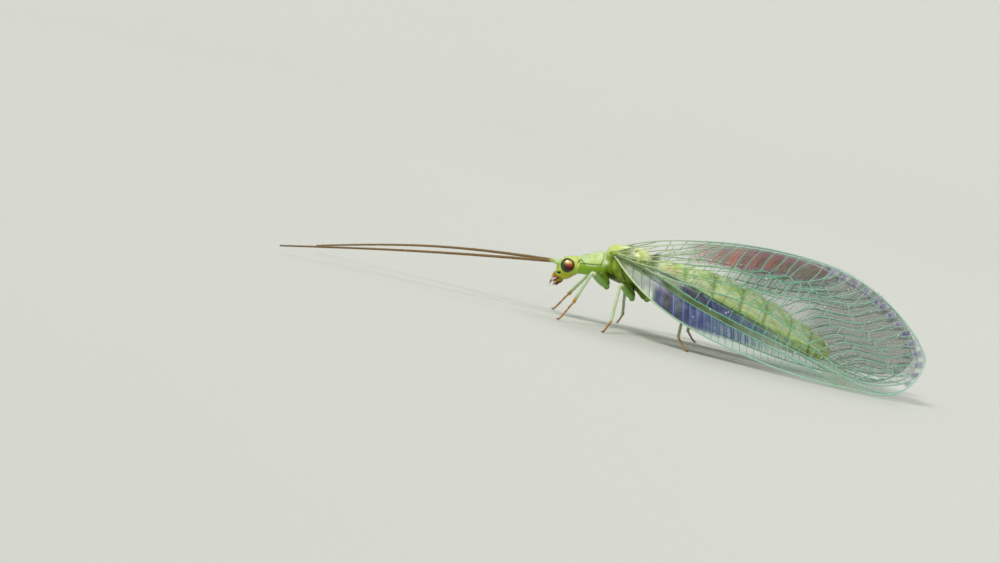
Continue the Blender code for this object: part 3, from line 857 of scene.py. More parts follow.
def addLimb(heap, ends, thick, across, rows, corners, tints, bow=(0, 0, 0)):
    # a straight or bowed limb: place = start + way t + bow 4 t (1 - t); thick gives its radius at t,
    # brought to a round end at both ends; the colour runs from the first of the tints to the
    # second, and each further one is laid over it by its own share at t
    t = np.sin(np.linspace(-math.pi / 2, math.pi / 2, rows)) / 2 + 0.5
    start, stop = (np.array(end, float) for end in ends)
    path = start + (stop - start) * t[:, None] + np.array(bow) * (4 * t * (1 - t))[:, None]
    radius = thick(t)
    share = np.minimum(t, 1 - t) * np.linalg.norm(stop - start) / np.maximum(radius, 1e-6)
    tint = blendTo(plain(tints[0], t), tints[1], t)
    for colour, over in tints[2:]:
        tint = blendTo(tint, colour, over(t))
    heap.add(tube(path, radius * roundEnd(share + 0.02), corners, across), tint=ringTint(tint, corners))


def roundEnd(share):  # quarter circle: 0 at 0, 1 from 1 on
    return np.sqrt(np.clip(1 - (1 - np.clip(share, 0, 1)) ** 2, 0, 1))


def makeMouth():
    # each part is a chain of limbs; a part with y = 0 is made once, the others for both sides
    finish = skinFinish("mouthAmber", 0.05)
    for name, (joints, radii, colours) in mouth.items():
        heap = Heap()
        shades = [mouthColours[colour] for colour in colours.split()]
        for sign in sides.values() if joints[0][1] else (1,):
            places = np.array(joints) * [1, sign, 1]
            for i in range(len(places) - 1):
                more = unit(places[i + 1] - places[i]) * radii[i + 1] * 0.35
                first, last = radii[i], radii[i + 1]
                thick = lambda t: first + (last - first) * t + 0.12 * first * np.sin(math.pi * t)
                ends = (places[i] - more, places[i + 1] + more)
                addLimb(heap, ends, thick, (1.0, 0.0, 0.15), 18, 14, shades[i : i + 2])
        heap.piece(name, finish, "mouth", ["mouthparts"])


# Feelers

feelers = {
    "left": {"reach": 11.35, "wave": 0.10},
    "right": {"reach": 10.10, "wave": 0.28},
    "start": (-2.40, 0.28, 2.25),
    "spread": 1.75,
    "fall": 1.93,
    "rings": 86,
    "stepsPerRing": 7,
    "corners": 10,
    "baseRadius": 0.062,
    "tipRadius": 0.030,
    "scape": ((-1.98, 0.265, 2.205), (-2.335, 0.28, 2.248)),
    "hairsPerRing": 9,
    "hairLength": (0.055, 0.085),
    "hairRadius": 0.0045,
}
feelerColours = {
    "shaft": paint(136, 106, 60),
    "ring": paint(84, 58, 34),
    "base": paint(186, 196, 120),
    "scape": paint(184, 212, 140),
    "hair": paint(190, 166, 128),
}


def feelerPath(side, t):
    # forward evenly; sideways as t to 0.9; down evenly plus half a sine wave
    x, y, z = feelers["start"]
    own = feelers[side]
    return np.stack([
        x - own["reach"] * t,
        sides[side] * (y + feelers["spread"] * t**0.9),
        z - feelers["fall"] * t + own["wave"] * np.sin(math.pi * t),
    ], -1)


def makeFeelers():
    # the shaft's radius swells towards the outer end of each ring
    c = feelerColours
    finish, scapeFinish = skinFinish("feelerTan", 0.05), skinFinish("scapeGreen", 0.12)
    t = np.linspace(0, 1, feelers["rings"] * feelers["stepsPerRing"] + 1)
    step = (t * feelers["rings"]) % 1.0
    thin, thick = feelers["tipRadius"], feelers["baseRadius"]
    radius = thin + (thick - thin) * (1 - t) ** 0.8
    radius = radius * (0.86 + 0.20 * np.sin(math.pi * step) ** 0.5 + 0.05 * step)
    tint = painted(plain(c["shaft"], t), c, [
        ("ring", hump(fromEdge(step) / 0.16)),
        ("base", ease((0.02 - t) / 0.02)),
        ("ring", 0.35 * ease((t - 0.5) / 0.5)),
    ])
    corners, up = feelers["corners"], (0, 0, 1)
    for side, sign in sides.items():
        title = side.capitalize()
        heap = Heap()
        heap.add(tube(feelerPath(side, t), radius, corners, up), tint=ringTint(tint, corners))
        heap.piece(f"feeler{title}", finish, "feeler", [f"antenna_{side}"])
        # scape and the small joint before the shaft
        heap = Heap()
        root, end = (np.array(place) * [1, sign, 1] for place in feelers["scape"])
        swell = lambda t: 0.092 - 0.010 * t + 0.010 * np.sin(math.pi * t)
        addLimb(heap, (root, end), swell, up, 26, 18, [c["scape"], c["scape"]])
        ends = (end + [0.02, 0, 0], end + [-0.125, sign * 0.003, 0.004])
        addLimb(heap, ends, lambda t: 0.064 - 0.006 * t, up, 16, 14, [c["scape"], c["shaft"]])
        heap.piece(f"scape{title}", scapeFinish, "head", [f"scape_{side}"])
        makeFeelerHair(side, t, radius)


def makeFeelerHair(side, t, radius):  # hairs stand round each ring, leaning to the tip
    count, each = feelers["rings"], feelers["hairsPerRing"]
    place = (np.repeat(np.arange(count), each) + 0.35 + 0.5 * chance.random(count * each)) / count
    turn = chance.random(len(place)) * 2 * math.pi
    outward = np.stack([np.zeros_like(turn), np.cos(turn), np.sin(turn)], -1)
    roots = feelerPath(side, place) + outward * (np.interp(place, t, radius) * 0.9)[:, None]
    ways = unit(outward * 0.55 + [-0.85, 0, 0])
    short, long = feelers["hairLength"]
    length = short + (long - short) * chance.random(len(place))
    bake = np.stack([0.05 + 0.9 * place, 0.05 + 0.9 * turn / (2 * math.pi)], -1)
    shape, spots = bristles(roots, ways, outward * -0.15, length, feelers["hairRadius"], bake)
    title = side.capitalize()
    hairPiece(f"feelerHair{title}", shape, feelerColours["hair"], spots, "feeler", [f"antenna_{side}"])


def makeHairFinish():
    # stored colour, a little lighter and darker from hair to hair
    finish = Finish("fineHair", {"Roughness": 0.45, "Specular IOR Level": 0.4, "Sheen Weight": 0.3})
    base = finish.stored("tint")
    return finish.feed(colour=finish.mix(finish.noise(9, 1), finish.times(base, (0.7, 0.7, 0.66)), base))


hairFinish = makeHairFinish()
bodyGrid = makeBody()
makeEyes()
makeMouth()
makeFeelers()
print("body, eyes, mouth and feelers")


# Legs

legs = {  # hip, trochanter, knee, ankle and toe of each
    "front_left": [
        (-0.28, -0.34, 2.20), (0.10, -0.46, 1.72), (-0.67, -1.32, 2.24),
        (-1.17, -1.72, 0.84), (-1.62, -1.98, 0.2),
    ],
    "front_right": [
        (-0.28, 0.34, 2.20), (0.10, 0.46, 1.72), (-0.62, 1.25, 2.06),
        (-1.38, 1.62, 0.84), (-1.86, 2.00, 0.2),
    ],
    "middle_left": [
        (0.86, -0.42, 2.02), (1.26, -0.62, 1.50), (0.60, -1.62, 2.06),
        (0.53, -2.34, 0.45), (0.28, -2.92, 0.2),
    ],
    "middle_right": [
        (0.86, 0.42, 2.02), (1.26, 0.62, 1.50), (0.92, 1.58, 2.00),
        (1.16, 2.34, 0.45), (1.02, 2.92, 0.2),
    ],
    "hind_left": [
        (1.50, -0.36, 1.98), (1.84, -0.50, 1.60), (3.41, -0.95, 2.40),
        (3.46, -1.90, 0.45), (3.92, -2.40, 0.2),
    ],
    "hind_right": [
        (1.50, 0.36, 1.98), (1.84, 0.50, 1.60), (3.80, 0.97, 2.35),
        (4.06, 1.90, 0.45), (4.50, 2.40, 0.2),
    ],
}
legSizes = {  # radii
    "coxa": 0.23,
    "trochanter": 0.112,
    "femur": {"front": 0.130, "middle": 0.112, "hind": 0.104},
    "tibia": {"front": 0.066, "middle": 0.062, "hind": 0.062},
    "foot": 0.042,
    "pad": 0.028,
    "claw": 0.013,
    "clawLength": 0.10,
    "footJoints": (0.0, 0.36, 0.55, 0.70, 0.82, 1.0),  # shares of the foot's length
    "tanFrom": {"front": 0.72, "middle": 0.86, "hind": 0.86},  # share of the tibia where it turns tan
    "tanMost": {"front": 1.0, "middle": 0.6, "hind": 0.6},
}
legHairs = {
    "count": 900,
    "shares": (0.34, 0.46, 0.20),  # on femur, tibia and foot
    "lengths": np.array([0.050, 0.065, 0.050]),
    "radius": 0.0032,
}
legColours = {
    "coxa": paint(94, 118, 18),
    "femur": paint(142, 182, 98),
    "knee": paint(226, 230, 200),
    "tibia": paint(184, 206, 164),
    "ankle": paint(186, 134, 56),
    "foot": paint(158, 92, 32),
    "claw": paint(44, 24, 10),
    "hair": paint(214, 222, 190),
}


def footPath(ankle, toe, t):
    # straight from ankle to toe in plan; in height it drops to the floor and then lies on it
    rest = legSizes["foot"] + 0.004
    level = ankle[2] + (toe[2] - ankle[2]) * t
    drop = ease(t / 0.9) * (toe[2] - rest)
    path = ankle + (toe - ankle) * t[:, None]
    path[:, 2] = np.maximum(level - drop, rest)
    return path


def makeLegs():
    # limbs from hip to ankle, each with its radius as a formula of the share t of its own length
    c, size = legColours, legSizes
    finish, clawFinish = skinFinish("legGreen", 0.02), skinFinish("clawBrown", 0.0)
    for leg, places in legs.items():
        pair = leg.split("_")[0]
        hip, trochanter, knee, ankle, toe = (np.array(place) for place in places)
        across = unit(np.cross(knee - trochanter, ankle - knee))
        inward, way, down = unit(hip - trochanter), unit(knee - trochanter), unit(ankle - knee)
        femur, tibia = size["femur"][pair], size["tibia"][pair]
        tanFrom, tanMost = size["tanFrom"][pair], size["tanMost"][pair]
        heap = Heap()
        ends = (hip + inward * 0.16, trochanter)
        tints = [c["coxa"], c["coxa"] * [0.85, 0.95, 0.8]]
        addLimb(heap, ends, lambda t: size["coxa"] * (1.12 - 0.42 * t), across, 30, 20, tints, (0.03, 0, 0))
        ends = (trochanter - way * 0.09, trochanter + way * 0.17)
        swell = lambda t: size["trochanter"] + 0.024 * np.sin(math.pi * t)
        addLimb(heap, ends, swell, across, 18, 18, [c["coxa"], c["femur"]])
        ends = (trochanter + way * 0.08, knee - way * 0.02)
        swell = lambda t: femur * (0.72 + 0.30 * np.sin(math.pi * (0.10 + 0.86 * t) ** 0.8))
        tints = [c["femur"], c["femur"], (c["knee"], lambda t: ease((t - 0.84) / 0.16))]
        addLimb(heap, ends, swell, across, 36, 20, tints, np.cross(across, way) * 0.03)
        ends = (knee - down * 0.06 - way * 0.05, knee + down * 0.10)
        addLimb(heap, ends, lambda t: femur * 0.62 + 0 * t, across, 14, 16, [c["knee"], c["knee"]])
        ends = (knee - down * 0.02, ankle + down * 0.02)
        swell = lambda t: tibia * (
            0.88 + 0.22 * hump((t - 0.03) / 0.08) + 0.30 * ease((t - 0.8) / 0.2)
            + 0.10 * np.sin(math.pi * t)
        )
        tints = [
            c["tibia"], c["tibia"], (c["knee"], lambda t: ease((0.08 - t) / 0.08)),
            (c["ankle"], lambda t: tanMost * ease((t - tanFrom) / 0.2)),
        ]
        addLimb(heap, ends, swell, across, 40, 14, tints, np.cross(across, down) * -0.035)
        for first, last in zip(size["footJoints"], size["footJoints"][1:]):
            t = np.linspace(first - 0.01, last + 0.012, 14)
            local = np.linspace(0, 1, 14)
            closing = roundEnd(np.minimum(local, 1 - local) * 5 + 0.03)
            radius = size["foot"] * (0.80 + 0.22 * local) * closing
            tint = blendTo(plain(c["ankle"], t), c["foot"], local)
            heap.add(tube(footPath(ankle, toe, t), radius, 12, (0.2, 0.1, 1.0)), tint=ringTint(tint, 12))
        nodes = [f"{leg}_{part}" for part in ("coxa", "femur", "tibia", "tarsus")]
        heap.piece("leg_" + leg, finish, "leg", nodes)
        makeClaws(leg, footPath(ankle, toe, np.array([0.97, 1.0])), clawFinish)
        makeLegHair(leg, (trochanter, knee, ankle, toe), (femur, tibia, size["foot"]), across)


def makeClaws(leg, end, finish):
    # two claws, each a tenth of a millimetre of a sine arc that sinks with the square of t, and a pad
    heap = Heap()
    t = np.linspace(0, 1, 9)
    ahead = unit((end[1] - end[0]) * [1, 1, 0])
    beside = unit(np.cross(ahead, [0, 0, 1]))
    for sign in (-1, 1):
        outward = sign * (0.02 + 0.05 * t)
        onward = legSizes["clawLength"] * np.sin(t * 1.9)
        hook = end[1] + np.outer(onward, ahead) + np.outer(outward, beside)
        hook[:, 2] = end[1][2] + 0.022 - 0.055 * t**2
        heap.add(tube(hook, legSizes["claw"] * (1 - 0.85 * t), 7, (0, 0, 1)), tint=legColours["claw"])
    pad = lambda t: legSizes["pad"] + 0 * t
    addLimb(heap, (end[1], end[1] + ahead * 0.07), pad, (0, 0, 1), 10, 10, [legColours["foot"]] * 2)
    heap.piece("claws_" + leg, finish, "foot", [leg + "_tarsus"])


def makeLegHair(leg, chain, radii, across):
    # hairs spread evenly along femur, tibia and foot, leaning towards the toe; none that would
    # reach through the floor
    count = legHairs["count"]
    part = chance.choice(3, count, p=legHairs["shares"])
    t = 0.05 + 0.92 * chance.random(count)
    chain = np.array(chain)
    starts, stops = chain[:-1][part], chain[1:][part]
    middle = starts + (stops - starts) * t[:, None]
    foot = part == 2
    middle[foot] = footPath(chain[2], chain[3], t[foot])
    way = unit(stops - starts)
    turn = chance.random(count) * 2 * math.pi
    outward = unit(np.cross(way, across)) * np.cos(turn)[:, None] + across * np.sin(turn)[:, None]
    roots = middle + outward * (np.array(radii)[part] * 0.93)[:, None]
    ways = unit(outward * 0.75 + way)
    length = legHairs["lengths"][part] * (0.7 + 0.6 * chance.random(count))
    keep = roots[:, 2] + np.minimum(ways[:, 2] - 0.25 * outward[:, 2], 0) * length > 0.012
    bake = np.stack([0.05 + 0.3 * (part + t), 0.05 + 0.9 * turn / (2 * math.pi)], -1)[keep]
    bends = -0.25 * outward[keep]
    shape, spots = bristles(roots[keep], ways[keep], bends, length[keep], legHairs["radius"], bake)
    nodes = [f"{leg}_{name}" for name in ("femur", "tibia", "tarsus")]
    hairPiece("legHair_" + leg, shape, legColours["hair"], spots, "leg", nodes)


makeLegs()
print("legs")


# Wings: u runs from the root along the wing, v across it from the long axis to the front margin

wings = {  # widths are the widest of each wing, in front of and behind its long axis
    "fore": {"length": 13.9, "root": 0.0, "inward": 0.0, "turn": 0.0, "ridgeIn": 0.34, "rootIn": 0.46},
    "hind": {"length": 12.4, "root": 1.28, "inward": 0.60, "turn": 0.02, "ridgeIn": 0.14, "rootIn": 0.52},
    "droop": 5.4,  # degrees
    "rootHeight": 3.18,
    "slope": 0.40,
    "foreCostal": 2.32,
    "foreHind": 2.44,
    "hindCostal": 1.55,
    "hindHind": 2.42,
    "spread": {"root": 1.26, "shoulder": 0.70, "tail": 0.30},  # sideways, more past it, less past it
    "rootFade": 0.55,  # how soon the run in to the body fades along the wing
    "pleats": {"depth": 0.030, "turns": 5.2, "start": 0.6},
    "floorBend": (0.10, 0.06),  # height where a wing starts to bend, and how softly it does
}


def foreFront(t):  # front margin: a quick exponential rise, nearly straight, then a round tip
    rise = (1 - np.exp(-((t / 0.185) ** 1.12))) * (0.90 + 0.13 * t)
    return (0.08 + (wings["foreCostal"] - 0.08) * rise) * np.sqrt(np.clip(1 - t**10, 0, 1))


def foreBack(t):  # hind margin: a quarter sine out to the widest place, then a rounded fall
    out = np.sin(math.pi / 2 * (np.clip(t, 0, 0.64) / 0.64) ** 0.85)
    fall = np.cos(math.pi / 2 * np.clip((t - 0.64) / 0.36, 0, 1)) ** 0.68
    return 0.12 * (1 - t**9) + (wings["foreHind"] - 0.12) * np.where(t < 0.64, out, fall)


def hindFront(t):  # hindwing: a quarter sine to its widest place, then nearly straight
    rise = np.sin(math.pi / 2 * np.clip(t / 0.7, 0, 1)) ** 1.3
    return (0.10 + (wings["hindCostal"] - 0.10) * rise) * np.sqrt(np.clip(1 - t**9, 0, 1))


def hindBack(t):  # as the forewing's, widest nearer the root
    out = np.sin(math.pi / 2 * (np.clip(t, 0, 0.55) / 0.55) ** 0.85)
    fall = np.cos(math.pi / 2 * np.clip((t - 0.55) / 0.45, 0, 1)) ** 0.55
    return 0.10 * (1 - t**9) + (wings["hindHind"] - 0.10) * np.where(t < 0.55, out, fall)


margins = {"fore": (foreFront, foreBack), "hind": (hindFront, hindBack)}


def fitTo(wing, uv):
    # a place on the forewing's plan, moved to the same share of another wing's length and width
    if wing == "fore":
        return uv
    t = np.clip(uv[..., 0] / wings["fore"]["length"], -0.1, 1)
    inside = np.clip(t, 0, 1)
    front, back = margins[wing]
    v = uv[..., 1]
    v = np.where(v > 0, v * front(inside) / foreFront(inside), v * back(inside) / foreBack(inside))
    return np.stack([t * wings[wing]["length"], v], -1)


def wingPlace(wing, side, u, v):
    # a sloping roof: sideways = slope v plus the spread, which grows out of the root and closes a
    # little to the tail; pleats along the wing and the ridge over the back move it in or out
    own, spreads, pleats = wings[wing], wings["spread"], wings["pleats"]
    t = u / own["length"]
    v = v + own["turn"] * np.clip(t, 0, 1) * own["length"]
    rootIn = own["rootIn"] * np.exp(-u / wings["rootFade"])  # the root runs in to the body
    u = np.where(u < 0, 0.4 * u, u) + own["root"]
    spread = spreads["root"] + spreads["shoulder"] * ease(u / 2.2)
    spread = spread - spreads["tail"] * ease((u - 8) / 6) - rootIn
    pleat = pleats["depth"] * np.sin(v * pleats["turns"] + pleats["start"])
    pleat = pleat * ease(t / 0.15) * ease((1 - t) / 0.2)
    spread = spread + wings["slope"] * v - own["inward"] - own["ridgeIn"] * ease(-v / 2.2) + pleat
    droop = math.radians(wings["droop"])
    height = wings["rootHeight"] - u * math.sin(droop) - v * math.cos(droop)
    low, soft = wings["floorBend"]
    height = low + soft * np.logaddexp(0, (height - low) / soft)  # bends softly onto the floor
    x = u * math.cos(droop) - v * math.sin(droop) + 0.25 * rootIn
    return np.stack([x, sides[side] * spread, height], -1)


def wingNormal(wing, side, u, v):  # outwards from the roof, by small steps along and across
    step = 0.02
    here = wingPlace(wing, side, u, v)
    along = wingPlace(wing, side, u + step, v) - here
    across = wingPlace(wing, side, u, v + step) - here
    normal = unit(np.cross(along, across))
    return normal * np.where(normal[..., 1:2] * sides[side] < 0, -1, 1)


# Veins of the forewing, in millimetres of u and v; the hindwing takes the same plan, fitted
mainVeins = {
    "subcosta": [
        (-0.35, 0.05), (0, 0.10), (0.58, 0.17), (1.27, 0.28), (2.22, 0.47), (3.5, 0.80), (5.1, 1.10),
        (6.0, 1.24), (7.6, 1.48), (9.3, 1.75), (10.6, 2.02), (11.15, 2.20),
    ],
    "radius": [
        (-0.35, 0.0), (0, 0.03), (0.55, 0.05), (1.2, 0.09), (2.15, 0.25), (3.5, 0.58), (5.0, 0.85),
        (6.0, 1.00), (7.6, 1.18), (9.3, 1.40), (10.6, 1.64), (11.9, 1.82), (12.7, 1.74),
        (13.3, 1.42),
    ],
    "sector": [
        (1.5, 0.13), (2.5, 0.16), (3.7, 0.12), (5.1, 0.06), (6.5, 0.12), (7.5, 0.32), (8.5, 0.66),
        (9.3, 0.94), (9.9, 1.19), (10.45, 1.42), (11.0, 1.58), (11.6, 1.62), (12.2, 1.54),
        (12.8, 1.36), (13.3, 1.10), (13.65, 0.80),
    ],
    "innerLine": [
        (-0.35, -0.02), (0, -0.02), (0.9, 0.0), (1.8, -0.08), (2.6, -0.20), (4.4, -0.42),
        (5.7, -0.54), (6.4, -0.59), (7.2, -0.69), (8.0, -0.84), (8.65, -1.00), (9.3, -1.12),
        (10.2, -1.26), (10.9, -1.54), (11.42, -2.02),
    ],
    "outerLine": [
        (-0.35, -0.05), (0, -0.06), (0.9, -0.14), (1.75, -0.33), (2.45, -0.50), (3.2, -0.68),
        (4.2, -0.92), (4.85, -1.02), (5.5, -1.10),
    ],
    "cubitus": [
        (1.75, -0.33), (2.45, -0.60), (3.1, -0.84), (3.5, -1.04), (3.95, -1.42), (4.35, -1.80),
        (4.45, -1.89),
    ],
    "firstAnal": [
        (-0.35, -0.07), (0, -0.09), (0.9, -0.22), (1.7, -0.52), (2.35, -0.80), (3.05, -1.14),
        (3.6, -1.48), (3.95, -1.75),
    ],
    "secondAnal": [
        (-0.35, -0.09), (0, -0.11), (0.5, -0.30), (1.0, -0.55), (1.45, -0.80), (1.72, -0.99),
    ],
}
chains = {  # the two sides of the row of six-sided cells beyond the outer line
    "low": [
        (5.5, -1.07), (6.15, -1.10), (6.78, -1.29), (7.08, -1.19), (7.57, -1.33), (7.87, -1.38),
        (7.96, -1.20), (8.45, -1.30), (8.62, -1.28), (8.76, -1.17), (9.28, -1.29), (9.65, -1.43),
        (10.05, -1.64), (10.42, -1.91), (10.62, -2.22),
    ],
    "high": [
        (5.5, -1.16), (5.9, -1.26), (6.18, -1.38), (6.45, -1.42), (6.62, -1.31), (6.82, -1.34),
        (7.25, -1.50), (7.43, -1.50), (7.57, -1.38), (7.72, -1.42), (8.17, -1.57), (8.35, -1.66),
        (8.64, -1.81), (9.13, -2.10), (9.45, -2.45),
    ],
}
veinSizes = {  # radius near the root and at the tip, in millimetres
    "costa": (0.046, 0.034),
    "subcosta": (0.046, 0.026),
    "radius": (0.072, 0.027),
    "sector": (0.030, 0.025),
    "line": (0.024, 0.025),
    "branch": (0.019, 0.020),
    "cross": (0.014, 0.015),
    "edge": (0.022, 0.032),
}
veinColours = {
    "root": paint(76, 98, 14),
    "paleRoot": paint(196, 208, 140),
    "mint": paint(98, 178, 136),
    "pale": paint(176, 212, 200),
    "dark": paint(16, 30, 16),
    "hair": paint(196, 208, 198),
}
branches = {"count": 14, "free": 5}  # of the sector; from the fifth on they run to the margin
throughCells = [  # branches from the inner line to the row of cells: u at the start, end
    (5.10, (5.20, -1.06)), (5.55, (5.70, -1.08)), (6.02, (6.17, -1.10)), (6.42, (6.62, -1.24)),
    (6.92, (7.06, -1.20)), (7.25, (7.50, -1.31)), (7.86, (7.96, -1.21)), (8.20, (8.42, -1.30)),
]
toMargin = [  # veins from there to the hind margin: start, u at the margin, bow
    ((4.25, -0.94), 4.98, -0.05), ((5.0, -1.05), 5.38, -0.03), ((5.42, -1.15), 5.94, -0.04),
    ((6.12, -1.36), 6.50, -0.05), ((6.50, -1.40), 7.07, 0.05), ((7.20, -1.50), 7.55, -0.04),
    ((7.40, -1.51), 8.12, -0.07), ((8.22, -1.60), 8.62, 0.07), ((8.70, -1.86), 9.06, 0.08),
]
rungs = [  # short veins from one line to another: both names, shift of u, darkness, places u
    ("radius", "front", 0.16, 0.0, np.linspace(11.4, 13.1, 8)),
    ("sector", "innerLine", 0.20, 0.6, (2.6, 3.4, 4.2)),
    ("innerLine", "outerLine", 0.26, 0.5, (1.35, 2.3, 3.15)),
    ("innerLine", "outerLine", 0.26, 0.0, (4.0, 4.6)),
    ("firstAnal", "outerLine", 0.17, 0.2, (1.45,)),
    ("firstAnal", "cubitus", 0.20, 0.2, (2.5, 3.3)),
    ("secondAnal", "firstAnal", 0.20, 0.2, (0.95,)),
    ("firstAnal", "back", 0.10, 0.2, (2.2,)),
    ("firstAnal", "back", 0.15, 0.2, (2.8,)),
    ("cubitus", "outerLine", 0.20, 0.2, (3.6,)),
]


def edgePath(front):  # one margin of the forewing from root to tip, dense near both ends
    t = (1 - np.cos(np.linspace(0, math.pi, 400))) / 2
    v = foreFront(t) if front else -foreBack(t)
    return np.stack([t * wings["fore"]["length"], v], -1)


def layVeins():
    # every vein of the forewing as (path, size name, darkness), and the middles of the small cells
    # that are violet along the margin of the tip
    veins, cells = [], []
    path = {name: curveThrough(places, 220) for name, places in mainVeins.items()}
    front, back = edgePath(True), edgePath(False)
    path.update(front=front, back=back)

    def at(name, u):  # the place on a vein or margin at u
        return np.array([u, np.interp(u, path[name][:, 0], path[name][:, 1])])

    def join(a, b, size="cross", dark=0.0, bow=0.0, count=7):
        # a straight vein, or one bowed by bow times its length
        t = np.linspace(0, 1, count)[:, None]
        line = np.array(a) + (np.array(b) - np.array(a)) * t
        across = np.array([-(b[1] - a[1]), b[0] - a[0]])
        veins.append((line + across * (bow * 4 * t * (1 - t)), size, dark))

    veins.append((np.concatenate([[(-0.35, 0.06)], front[3::5], front[-1:]]), "costa", 0.0))
    veins.append((np.concatenate([[(-0.35, -0.10)], back[3::5], back[-1:]]), "edge", 0.0))
    for name in mainVeins:
        size = "line" if name.endswith("Line") else name
        veins.append((path[name][::3], size if size in veinSizes else "branch", 0.0))
    for places in chains.values():
        veins.append((curveThrough(places, 70), "line", 0.0))
    join((8.20, -1.58), (8.42, -1.32), "branch")
    # branches that end on the inner line, and those that go on from there to the margin
    for k in range(branches["free"]):
        u = 4.95 + 0.5 * k
        join(at("sector", u), at("innerLine", u + 0.62), "branch", bow=0.04)
    for start, end in throughCells:
        join(at("innerLine", start), end, "branch")
    for start, end, bow in toMargin:
        join(start, at("back", end), "branch", bow=bow, count=12)
    last = [(8.42, -1.31), (9.05, -1.51), (9.45, -1.84), (9.72, -2.10), at("back", 9.98)]
    veins.append((curveThrough(last, 20), "branch", 0.0))
    join((9.05, -1.51), (9.28, -1.30), "branch")
    # free branches: from the sector through the inner and the outer row of rungs, forked at the end
    tip = np.concatenate([back[back[:, 0] > 11.62], front[::-1][front[::-1][:, 0] > 13.45]])
    g = np.arange(branches["free"], branches["count"]) - 7.0
    starts = [at("sector", u) for u in 8.45 + 0.46 * g + 0.02 * np.minimum(g, 0)]
    inner = np.stack([9.58 + 0.41 * g + 0.14 * np.minimum(g, 0), -0.14 + 0.222 * g], -1)
    outer = np.stack([11.15 + 0.40 * g - 0.012 * g**2, -0.40 + 0.225 * g + 0.006 * g**2], -1)
    shares = np.linspace(0.04, 0.95, len(g))
    ends = atLength(tip, shares)
    for k, share in enumerate(shares):
        bend = starts[k] * 0.45 + inner[k] * 0.55 + [0.0, -0.03]
        line = curveThrough([starts[k], bend, inner[k], outer[k], outer[k] * 0.45 + ends[k] * 0.55], 26)
        veins.append((line, "branch", 0.0))
        cells.append((line[-1] * 0.38 + ends[k] * 0.62, unit(ends[k] - line[-1])))
        for sign in (-1, 1):
            tine = atLength(tip, [np.clip(share + sign * 0.028, 0, 1)])[0]
            join(line[-1], tine, bow=0.06 * sign, count=9)
    for u in np.arange(9.0, 11.6, 0.55):
        end, start = at("back", u + 0.10), at("back", u - 0.10) + [0, 0.62]
        cells.append((end * 0.62 + start * 0.38, unit(end - start)))
    # rungs between neighbouring free branches, stepping outwards
    for k in range(len(g) - 1):
        share = 0.45 if k < 1 else 0.28
        join(inner[k + 1], inner[k] * (1 - share) + outer[k] * share)
        join(outer[k] * 0.96 + ends[k] * 0.04, outer[k + 1] * 0.90 + inner[k + 1] * 0.10)
    join(inner[0], at("innerLine", inner[0][0] - 0.03))
    join(outer[0], at("innerLine", outer[0][0] - 0.25))
    join(at("innerLine", 9.6), (9.85, -1.52))
    for u in (10.3, 10.75):
        join(at("innerLine", u), at("back", u + 0.42), bow=0.06)
    # rungs of the front fields, the first ones dark, and those between the lines near the root
    for i, u in enumerate(np.concatenate([[0.95, 1.36, 1.74, 2.25, 2.88], np.arange(3.35, 10.9, 0.33)])):
        high = at("subcosta", u)
        top = at("front", u + 0.34 * (foreFront(u / wings["fore"]["length"]) - high[1]))
        join(high, top, dark=0.92 if i < 4 else 0.25 if i < 9 else 0.0)
    for i, u in enumerate(np.linspace(2.2, 12.3, 20)):
        join(at("radius", u + 0.02), at("sector", u + 0.18), dark=0.9 if i in (0, 2, 5) else 0.0)
    for u in (1.3, 9.4, 9.9, 10.4, 10.9):
        join(at("subcosta", u), at("radius", u + 0.03), dark=0.3)
    for name, other, move, dark, places in rungs:
        for u in places:
            join(at(name, u), at(other, u + move), dark=dark)
    bent = [at("innerLine", 2.5), (2.85, -0.02), (3.2, -0.06), at("innerLine", 3.6)]
    veins.append((curveThrough(bent, 12), "cross", 0.2))
    return veins, cells


veinLook = {
    "corners": {"costa": 8, "subcosta": 8, "radius": 8, "cross": 5},
    "otherCorners": 6,
    "hindShare": 0.64,  # radius of the hindwing's veins as a share of the forewing's
}


def makeWingVeins(wing, side, veins):
    # each vein is a thin tube whose radius falls from root to tip; its ring's first corner faces
    # out of the wing; returns the paths for the hairs to stand on
    heap, roots, c = Heap(), [], veinColours
    for line, size, dark in veins:
        uv = fitTo(wing, line)
        u, v = uv.T
        start, stop = veinSizes[size]
        t = np.clip(u / wings[wing]["length"], 0, 1)
        fall = np.exp(-t / 0.16) if size in ("costa", "radius", "subcosta") else 1 - t
        radius = (stop + (start - stop) * fall) * (1.0 if wing == "fore" else veinLook["hindShare"])
        rim = ease((t - 0.1) / 0.4) * 0.5 + 0.2 if size in ("costa", "edge") else 0 * t
        tint = painted(plain(c["mint"], t), c, [
            ("root" if size in ("radius", "subcosta") else "paleRoot", hump(t / 0.26)),
            # the extra 0.3 of pale on the hindwing's veins is painted light, lifting the shade they lie in
            # under the forewings
            ("pale", 0.35 * ease((t - 0.4) / 0.3) + (wing == "hind") * 0.3),
            ("pale", rim),
            ("dark", dark + 0 * t),
        ])
        corners = veinLook["corners"].get(size, veinLook["otherCorners"])
        shape = tube(wingPlace(wing, side, u, v), radius, corners, wingNormal(wing, side, u, v))
        heap.add(shape, tint=ringTint(tint, corners))
        roots.append((uv, size))
    heap.piece(f"veins{wing.capitalize()}{side.capitalize()}", veinFinish, "wing", [f"{wing}wing_{side}"])
    return roots


